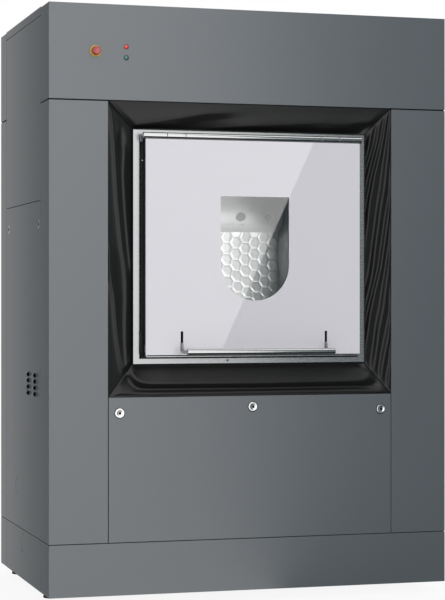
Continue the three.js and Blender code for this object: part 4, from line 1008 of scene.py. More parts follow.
# %% Slip on the sleeves
pin_low, pin_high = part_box("hinge_pin_front")
hinge_y, hinge_z = (pin_low.y + pin_high.y) / 2, (pin_low.z + pin_high.z) / 2
cuts = [-357.5, -282, -223, 223, 282, 357.5]
knuckles = len(cuts) - 1
for end, facing in ends:
    for number, (x0, x1) in enumerate(zip(cuts, cuts[1:]), 1):
        body = f"door_{end}" if number % 2 else "tub"
        a = x0 + (0.5 if number > 1 else 0)
        b = x1 - (0.5 if number < knuckles else 0)
        profile = [(9.4, 0), (10.3, 0.9), (10.3, b - a - 0.9), (9.4, b - a)]
        at = (a * MM, hinge_y, hinge_z)
        parts = [(turned(f"hinge_sleeve_{number}_{end}", profile, at, (1, 0, 0), 40, True), polished)]
        if number < knuckles:
            ring, at = rectangle(5.6, 9.1, -0.45, 0.45), (x1 * MM, hinge_y, hinge_z)
            parts.append((turned(f"hinge_washer_{number}_{end}", ring, at, (1, 0, 0), 32, True), plastic))
        for made, finish in parts:
            to_end(made.data, facing)
            hand_over(sharpen(made), finish, body)
print("knuckles:", knuckles)

# %% [markdown]
# ## The door handle
# The handle is a polished tube on two flat arms. Each arm comes out of a slot in the pane, drops behind the
# tube and turns outwards to carry it, and both sit on one shaft that works the latches. The arms are cut
# from plate, so each is a flat outline with a thickness; its middle line is a smooth curve through a few
# chosen points.

# %% Bend the arms
def smooth_line(places, steps=8):
    """Points of a Catmull-Rom curve through the given places."""
    chain = [2 * places[0] - places[1], *places, 2 * places[-1] - places[-2]]
    out = []
    for a, b, c, d in zip(chain, chain[1:], chain[2:], chain[3:]):
        for k in range(steps):
            t = k / steps
            out.append(0.5 * (2 * b + (c - a) * t + (2 * a - 5 * b + 4 * c - d) * t * t
                              + (3 * b - a - 3 * c + d) * t ** 3))
    return out + [places[-1]]


def strip_outline(middle, half_widths):
    """The outline of a strip of changing width along a middle line."""
    edges = [[], []]
    for k, point in enumerate(middle):
        ahead, behind = middle[min(k + 1, len(middle) - 1)], middle[max(k - 1, 0)]
        along = (ahead - behind).normalized()
        across = Vector((-along.y, along.x)) * np.interp(k / (len(middle) - 1), *half_widths)
        edges[0].append(point + across)
        edges[1].append(point - across)
    return [tuple(p) for p in edges[0] + edges[1][::-1]]


shaft_y, shaft_z, shaft_half = -0.4255, 0.7929, 0.300
bar_y, bar_z, bar_half = -0.5155, 0.7830, 0.239
arm_x, arm_thick = slot_x, 5 * MM
arm_places = [Vector(p) * MM for p in (
    (0, 0), (-3, 7), (-11, 15), (-17, 12), (-20, 2), (-26, -7), (-42, -10), (-66, -10), (-90, -10))]
arm_middle = smooth_line(arm_places)
arm_widths = ([0, 0.12, 0.35, 0.6, 1], [6.0 * MM, 4.2 * MM, 4.2 * MM, 5.2 * MM, 6.0 * MM])
print("arm's middle line:", len(arm_middle), "points")

# %% Stand the handle on its arms
arm_steel = finish_of("arm_steel", (0.20, 0.205, 0.21), 0.24, (200, 0.04, 0.15, 0.0), metallic=1.0)
bar_profile = [(8.0, 0), (9.2, 0), (10.0, 0.8), (10.0, 477.2), (9.2, 478), (8.0, 478)]
shaft_profile = [(0, 0), (5.4, 0), (6, 0.6), (6, 9.4), (5.4, 10), (4, 10.2), (4, 589.8), (5.4, 590),
                 (6, 590.6), (6, 599.4), (5.4, 600), (0, 600)]
plug_profile = [(0, 0), (7.9, 0), (7.9, 3), (0, 3)]
for end, facing in ends:
    parts = [turned(f"handle_bar_{end}", bar_profile, (-bar_half, bar_y, bar_z), (1, 0, 0), 40, True),
             turned(f"handle_shaft_{end}", shaft_profile, (-shaft_half, shaft_y, shaft_z), (1, 0, 0), 24)]
    for side, sx in sides:
        outline = [(shaft_y + y, shaft_z + z) for y, z in strip_outline(arm_middle, arm_widths)]
        parts.append(side_plate(f"handle_arm_{side}_{end}", outline, sx * arm_x, arm_thick, 0.7 * MM))
        plug_x = sx * (bar_half - 5.5 * MM) - 1.5 * MM
        parts.append(turned(f"handle_plug_{side}_{end}", plug_profile, (plug_x, bar_y, bar_z), (1, 0, 0), 24))
    for part in parts:
        to_end(part.data, facing)
        finish = plastic if "plug" in part.name else arm_steel if "arm" in part.name else polished
        stands_for = [f"door_handle_{end}"] if "bar" in part.name else []
        hand_over(sharpen(part), finish, f"handle_{end}", stands_for)
print("handle bar:", round(2 * bar_half / MM), "mm")

# %% [markdown]
# ## Emergency stop and lamps
# A stop button is a red mushroom in a yellow collar: round pieces, so a lathe profile describes each. The
# two lamps beside it are small domes in dark rings. The lens is a little lit from within, or it would look
# like painted wood.

# %% Mix the colours of the fittings
yellow = finish_of("collar_yellow", (0.62, 0.42, 0.035), 0.38, (700, 0.06, 0.1, 0.00001))
red = finish_of("button_red", (0.42, 0.045, 0.05), 0.30, (700, 0.08, 0.1, 0.00001), specular=0.8)
ring_dark = finish_of("lamp_ring", (0.05, 0.055, 0.06), 0.35, (500, 0.1, 0.1, 0.0), metallic=0.5)


def lens(name, color, light):
    """Coloured plastic with a soft light behind it."""
    made = finish_of(name, color, 0.22, (500, 0.12, 0.1, 0.00002), specular=0.9)
    shader = made.node_tree.nodes["Principled BSDF"]
    shader.inputs["Emission Color"].default_value = (*color, 1)
    shader.inputs["Emission Strength"].default_value = light
    return made


lens_red = lens("lamp_red", (0.65, 0.03, 0.03), 0.25)
lens_green = lens("lamp_green", (0.02, 0.13, 0.12), 0.15)
print("lens finishes:", lens_red.name, lens_green.name)

# %% Turn the round fittings
stop_x, stop_z, lamp_x = -0.5046, 1.7066, -0.408
collar_profile = [(9.5, -45), (11, -45), (11, -0.2), (17.4, -0.2), (18, 0.4), (18, 1.6), (17.4, 2.5),
                  (16.2, 3.0), (14.6, 3.0), (12.2, 2.2), (9.5, 2.2)]
cap_profile = [(0, 19.1), (3, 19.15), (6, 19.3), (8.4, 19.8), (9.6, 20.3), (10.8, 20.2), (12.4, 18.6),
               (13.5, 16.2), (14, 13.4), (13.8, 11.0), (13.0, 9.6), (9.6, 9.3), (9.0, 8.6), (9.0, 3.6),
               (5.0, 3.4), (5.0, -28), (0, -28)]
ring_profile = [(6.6, -0.2), (8.0, -0.2), (8.1, 0.4), (8.0, 1.2), (7.6, 1.5), (6.9, 1.5), (6.6, 1.2)]
lens_profile = [(0, 4.0), (2.2, 3.85), (4.2, 3.3), (5.6, 2.4), (6.4, 1.3), (6.5, 0.2), (6.0, -0.4),
                (6.0, -30), (0, -30)]


def fitting(name, profile, x, z, finish, body, stands_for=(), closed=False, facing=-1, steps=40):
    """A round fitting on the face of a fascia; profile in millimetres out from the face."""
    made = turned(name, profile, (x, front_face, z), (0, -1, 0), steps, closed)
    to_end(made.data, facing)
    return hand_over(sharpen(made, 40), finish, body, stands_for)


for end, facing in ends:
    fitting(f"stop_collar_{end}", collar_profile, stop_x, stop_z, yellow, "cabinet",
            [f"estop_collar_{end}"], True, facing)
    fitting(f"stop_cap_{end}", cap_profile, stop_x, stop_z, red, f"estop_button_{end}",
            [f"estop_button_{end}"], False, facing)
for color, z, finish in (("red", 1.7226, lens_red), ("green", 1.6888, lens_green)):
    fitting(f"lamp_{color}_lens", lens_profile, lamp_x, z, finish, "cabinet", [f"lamp_{color}"])
    fitting(f"lamp_{color}_ring", ring_profile, lamp_x, z, ring_dark, "cabinet", closed=True)
print("stop buttons:", len(ends), "and lamps: red, green")

# %% [markdown]
# ## Quarter-turn locks
# Panels that a technician opens often are held by locks with a square socket, turned by a key. The head is
# a steel disc whose rim is rounded; the socket is cut square, so the rings of points inside the head change
# from a circle to a square before they go down.

# %% Cut the locks
def whole_lock(node, centre, outward, proud):
    """A lock: head with a square socket, then shaft, nut and cam behind the sheet."""
    outward = Vector(outward)
    side = Vector((0, 0, 1)).cross(outward)
    count = 48
    shape = bmesh.new()

    def at(across, up, distance):
        return shape.verts.new(Vector(centre) + side * across + Vector((0, 0, up)) + outward * distance)

    def ring(radius, distance, square=False, steps=count):
        points = []
        for k in range(steps):
            a = 2 * math.pi * (k + 0.5) / steps
            reach = radius / max(abs(math.cos(a)), abs(math.sin(a))) if square else radius
            points.append(at(reach * math.cos(a), reach * math.sin(a), distance))
        return points

    def skin(rings):
        for low, high in zip(rings, rings[1:]):
            for k in range(len(low)):
                n = (k + 1) % len(low)
                shape.faces.new((low[k], low[n], high[n], high[k]))
        shape.faces.new(rings[0])
        shape.faces.new(rings[-1])

    floor_of_head = 0.1 * MM if proud else -1.0 * MM
    skin([ring(6.9 * MM, -27.4 * MM), ring(6.9 * MM, floor_of_head), ring(14.6 * MM, floor_of_head),
          ring(14.9 * MM, floor_of_head + 0.4 * MM), ring(14.9 * MM, max(proud - 1.6 * MM, -0.5 * MM)),
          ring(14.6 * MM, proud - 0.3 * MM), ring(13.9 * MM, proud - 0.1 * MM),
          ring(12.6 * MM, proud), ring(7.8 * MM, proud), ring(7.2 * MM, proud - 0.35 * MM),
          ring(4.3 * MM, proud - 0.35 * MM, True), ring(4 * MM, proud - 0.7 * MM, True),
          ring(4 * MM, proud - 4.5 * MM, True)])
    skin([ring(17.2 * MM, d * MM, steps=6) for d in (-6.4, -2.5)])
    tip = [(14 * MM * math.cos(a) / 2, 21 * MM + 7 * MM * math.sin(a)) for a in np.linspace(0, math.pi, 13)]
    tongue = [(7 * MM, -6.5 * MM), *tip, (-7 * MM, -6.5 * MM)]
    skin([[at(x, z, d * MM) for x, z in tongue] for d in (-27.3, -24.6)])
    bmesh.ops.recalc_face_normals(shape, faces=shape.faces)
    made = sharpen(object_from_bmesh(f"{node}_whole", shape, smooth=True), 38)
    return hand_over(made, lock_steel, node, [node])


print("a lock is made from its centre and the way it faces")

# %% Fit the locks
lock_steel = finish_of("lock_steel", (0.60, 0.60, 0.60), 0.20, (300, 0.05, 0.3, 0.0), metallic=1.0)
socket_dark = finish_of("socket_shadow", (0.02, 0.02, 0.02), 0.7, (400, 0.2, 0.1, 0.0), specular=0.1)
washer_profile = [(15.0, 0.1), (16.4, 0.1), (16.2, 0.7), (15.0, 0.9)]
cam_reach, head_proud, socket_reach = 28 * MM, 4.2 * MM, 6 * MM
lock_names = sorted(name for name in frame["nodes"] if name.startswith("lock_"))
for node in lock_names:
    low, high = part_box(node)
    middle = (low + high) / 2
    level = high.z - cam_reach
    if "side" in node:
        centre, outward, proud = (low.x, middle.y, level), (-1, 0, 0), 0.0
    else:
        facing = -1 if "front" in node else 1
        centre, outward, proud = (middle.x, facing * -front_face, level), (0, facing, 0), head_proud
        # The black ring is the lock's rubber washer and also stands in for the shadow round the head: partly
        # painted shade.
        washer = turned(f"{node}_washer", washer_profile, centre, outward, 40, True)
        hand_over(washer, black_rubber, "cabinet")
    lock = whole_lock(node, centre, outward, proud)
    lock.data.materials.append(socket_dark)
    for face in lock.data.polygons:
        away = face.center - Vector(centre)
        depth = away.dot(Vector(outward))
        from_middle = (away - Vector(outward) * depth).length
        if from_middle < socket_reach and -socket_reach < depth < proud - 0.5 * MM:
            face.material_index = 1
print("locks:", len(lock_names))

# %% [markdown]
# ## Louvres
# Air leaves through two columns of louvres low on the left side. A punch cuts the sheet on one line and
# raises it into a little hood that opens forwards, so each is a half cone of paint over an opening; a dark
# patch in each opening is painted shade. One hood is modelled, and a tree repeats it in rows and columns.

# %% Build the row-and-column tree
rows = Tree("row_and_column", [
    ("Piece", "Object", None), ("Finish", "Material", None), ("Columns", "Int", 1), ("Rows", "Int", 1),
    ("Column Step", "Vector", (0.1, 0.0, 0.0)), ("Row Step", "Vector", (0.0, 0.0, 0.1)),
])
line_a, line_b = (
    rows.add("GeometryNodeMeshLine", {"Count": rows.given(count), "Offset": rows.given(offset)})
    for count, offset in (("Columns", "Column Step"), ("Rows", "Row Step")))
spread = rows.add("GeometryNodeInstanceOnPoints", {
    "Points": line_a.outputs[0], "Instance": line_b.outputs[0]})
plain_points = rows.add("GeometryNodeRealizeInstances", {"Geometry": spread.outputs[0]})
model = rows.add("GeometryNodeObjectInfo", {"Object": rows.given("Piece")})
copies = rows.add("GeometryNodeInstanceOnPoints", {
    "Points": plain_points.outputs[0], "Instance": model.outputs["Geometry"]})
rows.finish(copies.outputs[0])


def repeated(name, model_piece, finish, across, column_step, down, row_step, smooth=True):
    """Copies of one piece in rows and columns as a plain mesh; the model piece is removed."""
    made = grow(name, rows, {"Piece": model_piece, "Finish": finish, "Columns": across, "Rows": down,
                             "Column Step": column_step, "Row Step": row_step}, smooth)
    bpy.data.objects.remove(model_piece)
    return made


print("row tree:", len(rows.group.nodes), "nodes")

# %% Raise the louvres
louvre_length, louvre_rise, louvre_half = 0.046, 7.5 * MM, 7.8 * MM
louvre_front, louvre_back = -0.2035, -0.0925
louvre_top, louvre_pitch = 0.7055, 0.0197
louvre_columns, louvre_rows = 2, 4
hood_sheet, side_x = 0.8 * MM, -0.6501


def hood_point(along, a, inner=0.0):
    """A place on a hood: along is 0 at the open front and 1 at the closed back."""
    fall = math.sqrt(max(0.0, 1 - along ** 1.6))
    half = (louvre_half - inner) * (0.25 + 0.75 * fall)
    rise = (louvre_rise - inner) * fall
    out, up = rise * math.sin(a), half * math.cos(a)
    return (side_x - out, louvre_front + louvre_length * along, louvre_top + up)


points, faces = [], []
steps_along, steps_round = 10, 12
for inner in (0.0, hood_sheet):
    for i in range(steps_along + 1):
        points += [hood_point(i / steps_along, math.pi * j / steps_round, inner)
                   for j in range(steps_round + 1)]
wide, layer = steps_round + 1, (steps_along + 1) * (steps_round + 1)
for i in range(steps_along):
    for j in range(steps_round):
        k = i * wide + j
        cell = (k, k + 1, k + wide + 1, k + wide)
        faces += [cell, tuple(layer + c for c in (cell[0], cell[3], cell[2], cell[1]))]
faces += [(j, layer + j, layer + j + 1, j + 1) for j in range(steps_round)]
hood = mesh_object("hood", points, faces)
step_y, step_z = (0, louvre_back - louvre_front, 0), (0, 0, -louvre_pitch)
louvre_hoods = repeated("side_louvre_hoods", hood, paint, louvre_columns, step_y, louvre_rows, step_z)
hand_over(louvre_hoods, None, "cabinet")
# A dark patch under each hood stands in for the shade in its opening: painted shade.
throat_x, throat_front = side_x - 0.3 * MM, louvre_front + 0.5 * MM
throat_back = louvre_front + louvre_length * 0.9
throat = mesh_object("throat", [(throat_x, throat_front, louvre_top - 6.8 * MM),
                                (throat_x, throat_back, louvre_top - 3 * MM),
                                (throat_x, throat_back, louvre_top + 3 * MM),
                                (throat_x, throat_front, louvre_top + 6.8 * MM)], [(0, 3, 2, 1)])
louvre_shade_patches = repeated("side_louvre_throats", throat, hole_dark, louvre_columns, step_y, louvre_rows,
                          step_z, smooth=False)
hand_over(louvre_shade_patches, None, "cabinet")
print("louvres:", louvre_columns * louvre_rows)

# %% [markdown]
# ## Seams and feet
# Panels meet with a gap of a few millimetres. Each seam of both ends gets a black foam strip behind the
# panels' faces, which stands in for the shade deep in the gap: painted shade. The feet are screwed spindles
# on rubber pads: lathe work again.

# %% Lay foam in the seams
column_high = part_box("column_front_left")[1]
fascia_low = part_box("fascia_front")[0]
panel_low, panel_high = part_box("service_panel_front")
plinth_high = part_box("plinth_front")[1]
clear_gap, wall = 0.25 * MM, 0.648
foam_front, foam_depth = -0.4180, 0.012
seam_rows = {
    "over_left_column": (-wall, column_high.x, column_high.z, fascia_low.z),
    "over_right_column": (-column_high.x, wall, column_high.z, fascia_low.z),
    "over_plinth": (-wall, wall, plinth_high.z, panel_low.z),
    "left_of_panel": (column_high.x, panel_low.x, panel_low.z, panel_high.z),
    "right_of_panel": (panel_high.x, -column_high.x, panel_low.z, panel_high.z),
}
for end, facing in ends:
    for name, (x0, x1, z0, z1) in seam_rows.items():
        across_x = x1 - x0 < z1 - z0
        gap_x, gap_z = (clear_gap, 0) if across_x else (0, clear_gap)
        outline = rectangle(x0 + gap_x, x1 - gap_x, z0 + gap_z, z1 - gap_z)
        # A black strip in the seam stands in for the shade deep in the gap: painted shade.
        strip = upright_plate(f"foam_{name}_{end}", [outline], foam_front, foam_depth, facing, 0.2 * MM)
        hand_over(strip, foam_and_shade, "cabinet")
print("foam strips:", len(ends) * len(seam_rows))

# %% Turn the feet
foot_profile = [(0, 0.2), (23, 0.2), (25, 1.6), (25, 6.4), (23.6, 8.0), (17, 8.4), (16, 9.5), (12, 14),
                (9, 17.2), (8, 17.8), (8, 20), (13.6, 20), (14, 20.6), (14, 28.4), (13.6, 29), (8, 29),
                (8, 79.8), (0, 79.8)]
for side, sx in sides:
    for end, facing in ends:
        low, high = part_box(f"foot_{end}_{side}")
        at = ((low.x + high.x) / 2, (low.y + high.y) / 2, 0)
        foot = turned(f"machine_foot_{end}_{side}", foot_profile, at, (0, 0, 1), 40)
        hand_over(sharpen(foot, 30), black_rubber, "cabinet", [f"foot_{end}_{side}"])
print("feet:", len(sides) * len(ends))

# %% [markdown]
# ## Suspension struts
# The tub stands on four struts. A damper tube is bolted to the base, its rod to the tub, and a coil spring
# lies between their seats: three pieces, because two bodies move against each other. A tree draws the coil,
# a spiral line with a round section.

# %% Build the spring's tree
coil = Tree("coil_spring", [
    ("Finish", "Material", None), ("Turns", "Float", 1.0), ("Coil Radius", "Float", 0.0255),
    ("Wire Radius", "Float", 0.0045), ("Height", "Float", 0.32), ("Steps", "Int", 24),
])
spiral = coil.add("GeometryNodeCurveSpiral", {
    "Resolution": coil.given("Steps"), "Rotations": coil.given("Turns"), "Height": coil.given("Height"),
    "Start Radius": coil.given("Coil Radius"), "End Radius": coil.given("Coil Radius")})
wire = coil.add("GeometryNodeCurvePrimitiveCircle", {"Resolution": 10, "Radius": coil.given("Wire Radius")})
wound = coil.add("GeometryNodeCurveToMesh", {
    "Curve": spiral.outputs[0], "Profile Curve": wire.outputs[0], "Fill Caps": True})
coil.finish(wound.outputs[0])
print("spring tree:", len(coil.group.nodes), "nodes")

# %% Stand the struts
spring_black = finish_of("spring_steel", (0.018, 0.018, 0.02), 0.35, (300, 0.15, 0.2, 0.00004), specular=0.6)
strut_base = [(0, 0), (23, 0), (24, 1), (24, 11), (23, 12), (17, 12.5), (17, 70), (31.5, 70), (32, 70.5),
              (32, 74.5), (31.5, 75), (17, 75), (17, 320), (16, 322), (10.5, 322), (10.5, 60), (0, 60)]
strut_top = [(0, 100), (8, 100), (9, 101), (9, 404.5), (31.5, 404.5), (32, 405), (32, 409.5), (31.5, 410),
             (13, 410), (9, 414), (9, 517), (23, 517.4), (24, 518), (24, 528.3), (23, 529.3), (0, 529.3)]
spring_turns, spring_height, spring_foot = 8.0, 0.3200, 79.6 * MM
strut_names = sorted(name for name in frame["nodes"] if name.startswith("strut_"))
for node in strut_names:
    low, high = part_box(node)
    at = ((low.x + high.x) / 2, (low.y + high.y) / 2, low.z)
    base = turned(f"{node}_damper", strut_base, at, (0, 0, 1), 40)
    hand_over(sharpen(base, 30), iron, "cabinet", [node])
    top = turned(f"{node}_rod", strut_top, at, (0, 0, 1), 40)
    hand_over(sharpen(top, 30), zinc, "tub")
    spring = grow(f"{node}_spring", coil, {
        "Finish": spring_black, "Turns": spring_turns, "Height": spring_height})
    spring.data.transform(Matrix.Translation((at[0], at[1], low.z + spring_foot)))
    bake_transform(spring)
print("struts:", len(strut_names), "with springs of", spring_turns, "turns")

# %% [markdown]
# ## The touch display
# The clean side has a display instead of lamps: a glass plate in a moulded bezel, with its housing behind
# the fascia. Nothing is drawn on it.

# %% Set the display in the fascia
def rounded(x0, x1, z0, z1, radius, steps=8):
    """A rectangle with round corners."""
    out = []
    for cx, cz, start in ((x1 - radius, z1 - radius, 0), (x0 + radius, z1 - radius, 90),
                          (x0 + radius, z0 + radius, 180), (x1 - radius, z0 + radius, 270)):
        out += [(cx + radius * math.cos(math.radians(a)), cz + radius * math.sin(math.radians(a)))
                for a in np.linspace(start, start + 90, steps)]
    return out


low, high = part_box("touch_display")
x0, x1, z0, z1 = -high.x, -low.x, low.z, high.z
screen_glass = finish_of("screen_glass", (0.006, 0.008, 0.010), 0.06, (90, 0.1, 0.2, 0.0), specular=0.7)


def display_plate(name, edge_in, hole_in, radius, setback, depth, bevel):
    """A round-cornered plate in the display's outline, set in from its edge, with or without a hole."""
    outlines = [rounded(x0 + edge_in, x1 - edge_in, z0 + edge_in, z1 - edge_in, radius)]
    if hole_in:
        outlines.append(rounded(x0 + hole_in, x1 - hole_in, z0 + hole_in, z1 - hole_in, 3 * MM))
    return upright_plate(name, outlines, -high.y + setback, depth, 1, bevel)


bezel = display_plate("display_bezel", 0, 11 * MM, 7 * MM, 0, 3.8 * MM, 0.9 * MM)
hand_over(bezel, plastic, "cabinet", ["touch_display"])
screen = display_plate("display_screen", 11.1 * MM, 0, 3 * MM, 0.9 * MM, 2.6 * MM, 0.3 * MM)
hand_over(screen, screen_glass, "cabinet")
back = high.y - low.y - 4.4 * MM
housing = display_plate("display_housing", 8.2 * MM, 0, 4 * MM, 4.2 * MM, back, 1.0 * MM)
hand_over(housing, plastic, "cabinet")
print("display:", round((high.x - low.x) / MM), "x", round((high.z - low.z) / MM), "mm")

# %% [markdown]
# ## The motor's fins
# A motor sheds heat through fins along its shell. One fin is modelled, and a tree stands it on a ring of
# points about the shaft, turned to each point's direction.

# %% Build the ring tree
ring_tree = Tree("ring_of_pieces", [
    ("Piece", "Object", None), ("Finish", "Material", None), ("Count", "Int", 12), ("Radius", "Float", 0.1),
    ("First", "Float", 0.0), ("Span", "Float", 6.2832),
])
line = ring_tree.add("GeometryNodeMeshLine", {"Count": ring_tree.given("Count"), "Offset": (0.0, 0.0, 0.0)})
share = ring_tree.math("DIVIDE", ring_tree.add("GeometryNodeInputIndex").outputs[0],
                       ring_tree.math("SUBTRACT", ring_tree.given("Count"), 1.0))
turned_by = ring_tree.math("MULTIPLY", share, ring_tree.given("Span"))
turned_by = ring_tree.math("ADD", ring_tree.given("First"), turned_by)
on_ring = ring_tree.add("ShaderNodeCombineXYZ", {
    "Y": ring_tree.math("MULTIPLY", ring_tree.math("COSINE", turned_by), ring_tree.given("Radius")),
    "Z": ring_tree.math("MULTIPLY", ring_tree.math("SINE", turned_by), ring_tree.given("Radius"))})
placed = ring_tree.add("GeometryNodeSetPosition", {
    "Geometry": line.outputs[0], "Position": on_ring.outputs[0]})
facing_out = ring_tree.add("ShaderNodeCombineXYZ", {"X": turned_by})
one = ring_tree.add("GeometryNodeObjectInfo", {"Object": ring_tree.given("Piece")})
on_points = ring_tree.add("GeometryNodeInstanceOnPoints", {
    "Points": placed.outputs[0], "Instance": one.outputs["Geometry"], "Rotation": facing_out.outputs[0]})
ring_tree.finish(on_points.outputs[0])
print("ring tree:", len(ring_tree.group.nodes), "nodes")

# %% Stand the fins round the motor
motor_low, motor_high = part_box("motor")
motor_radius, fin_count, fin_short, fin_half = 0.105, 17, 0.060, 1.4 * MM
fin_low, fin_high = motor_low.x + fin_short, motor_high.x - fin_short
fin_corners = [(x, y, z) for x in (fin_low, fin_high) for y in (-2 * MM, 7 * MM)
               for z in (-fin_half, fin_half)]
fin = mesh_object("fin", fin_corners, [(0, 1, 3, 2), (4, 6, 7, 5), (0, 4, 5, 1), (2, 3, 7, 6), (0, 2, 6, 4),
                                       (1, 5, 7, 3)])
fins = grow("motor_fins", ring_tree, {
    "Piece": fin, "Finish": iron, "Count": fin_count, "Radius": motor_radius,
    "First": math.radians(128), "Span": math.radians(176)}, smooth=False)
bpy.data.objects.remove(fin)
fins.data.transform(Matrix.Translation((0, 0, motor_low.z + motor_radius)))
hand_over(fins, None, "tub")
print("motor fins:", fin_count)

# %% [markdown]
# ## The bellows
# The tub hangs on springs and shakes, while the cabinet stands still. A surround of rubberised cloth closes
# the gap: four panels sewn together on the mitres, clamped to the cabinet outside and to the door frame
# inside. The cloth is cut too wide, so it stands in long soft folds. Each panel is a fine grid whose folds
# are ridges that run from point to point.

# %% Measure the gap that the cloth spans
bellows_low, bellows_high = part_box("bellows_front")
outer = {"x": bellows_high.x, "low": bellows_low.z, "high": bellows_high.z, "y": bellows_low.y}
inner = {"x": frame_high.x + 0.3 * MM, "low": frame_low.z - 0.3 * MM, "high": frame_high.z + 0.3 * MM,
         "y": -0.3915}
cloth_thick = 1.2 * MM
along_steps, across_steps = 200, 50
print("gap at the sides:", round((outer["x"] - inner["x"]) / MM), "mm")

# %% [markdown]
# A fold is described in the panel's own measures. Along the panel, from mitre to mitre, s runs from 0 to 1,
# and across it, from the cabinet to the frame, so does t. A crest or a valley is a smoothed line through a
# few places, and its height is in millimetres.

# %% Draw one fold
line_steps, line_window, across_window = 401, 27, 9


def soft_step(v):
    """Nothing up to 0, one from 1 onwards, and a soft rise between them."""
    v = np.clip(v, 0, 1)
    return v * v * (3 - 2 * v)


def line_through(s, places):
    """How far across the panel a fold lies at each place along it: a smoothed line through the places."""
    fine = np.linspace(0, 1, line_steps)
    raw = np.interp(fine, [p[0] for p in places], [p[1] for p in places])
    window = np.hanning(line_window)
    soft = np.convolve(np.pad(raw, line_window // 2, mode="edge"), window / window.sum(), mode="valid")
    return np.interp(s, fine, soft)


def rise_and_fall(s, start, stop, fade):
    """One between two places and nothing outside them, with soft ends."""
    return soft_step((s - start) / fade + 0.5) * soft_step((stop - s) / fade + 0.5)


def crease(s, t, places, width, height, steep=1.0, fade=0.06):
    """A fold along a line: a narrow crest if the height is positive, a valley if it is negative."""
    away = (t - line_through(s, places)) / width
    away = np.where(away > 0, away / steep, away)
    shape = (1 + away * away) ** -1.5 if height > 0 else np.exp(-away * away)
    return height * shape * rise_and_fall(s, places[0][0], places[-1][0], fade)


def profile_across(t, places):
    """A smoothed line across the panel; a place is a position for each step along it, and a height."""
    where = np.stack([p[0] for p in places], axis=-1)
    height = np.stack([np.broadcast_to(p[1], len(t)) for p in places], axis=-1)
    drawn = np.array([np.interp(row, at, high) for row, at, high in zip(t, where, height)])
    kernel = np.hanning(across_window)
    kernel /= kernel.sum()
    half = across_window // 2
    padded = np.pad(drawn, ((0, 0), (half, half)), mode="edge")
    return sum(kernel[k] * padded[:, k:k + t.shape[1]] for k in range(across_window))


print("lines are smoothed over", line_window, "of", line_steps, "places")

# %% [markdown]
# The top panel has two long folds that climb from the frame's edge towards the cabinet, and the second
# takes over from the first. The bottom one has a thin pleat by the cabinet, a valley and a broad crest, all
# level but for their ends.

# %% Fold the top and the bottom
top_left = [(0, 0.97), (0.03, 0.87), (0.11, 0.78), (0.185, 0.66), (0.26, 0.53), (0.33, 0.40), (0.41, 0.33),
            (0.5, 0.30)]
top_right = [(0.2, 0.93), (0.36, 0.90), (0.5, 0.80), (0.64, 0.73), (0.77, 0.64), (0.88, 0.66), (0.94, 0.56),
             (1, 0.50)]
melt_from, melt_over = 0.24, 0.30
crest_height, crest_limit, edge_depth = 8.5, 0.90, -8.5


def top_folds(s, t):
    """Two long folds, the second of which takes over from the first."""
    along = s[:, 0]
    left, right = line_through(along, top_left), line_through(along, top_right)
    share = soft_step((along - melt_from) / melt_over)
    nothing = 0 * along

    def fold(crest):
        crest = np.minimum(crest, crest_limit)
        fallen = crest + 0.55 * np.minimum(0.36, 0.97 - crest)
        return profile_across(t, [
            (nothing, 0), (crest * 0.4, 0.35 * crest_height), (crest * 0.8, 0.9 * crest_height),
            (crest, crest_height), (fallen, -1.5), (nothing + 0.975, edge_depth), (nothing + 1, edge_depth)])

    weight = share[:, None]
    return fold(left) * (1 - weight) + fold(right) * weight


thin_pleat = [(0, 0.04), (0.03, 0.13), (0.06, 0.12), (0.15, 0.10), (0.5, 0.11), (0.86, 0.11), (1, 0.05)]
broad_valley = [(0, 0.74), (0.015, 0.66), (0.052, 0.40), (0.09, 0.23), (0.5, 0.21), (0.95, 0.23),
                (0.985, 0.34), (1, 0.45)]
broad_crest = [(0, 0.84), (0.014, 0.76), (0.064, 0.50), (0.113, 0.40), (0.5, 0.39), (0.93, 0.42),
               (0.966, 0.52), (1, 0.70)]


def bottom_folds(s, t):
    """A thin pleat, a valley and a broad crest that falls away to the frame."""
    along = s[:, 0]
    thin, valley, crest = (line_through(along, line) for line in (thin_pleat, broad_valley, broad_crest))
    nothing = 0 * along
    return profile_across(t, [
        (nothing, 0), (thin * 0.5, -0.5), (thin, 5.5), (valley, -9.0), (crest, 10.0),
        (crest * 0.7 + 0.279, 4.5), (nothing + 0.93, -5.5), (nothing + 0.985, -6.0), (nothing + 1, -4)])


print("top folds:", len((top_left, top_right)), "and bottom folds:", len((thin_pleat, broad_crest)))

# %% [markdown]
# The left panel has a few creases that wander down it. The right one is laid in pleats that overlap like
# roof tiles and run slantwise, down from the cabinet's side to the frame's, so that panel is a sawtooth
# between its lines.

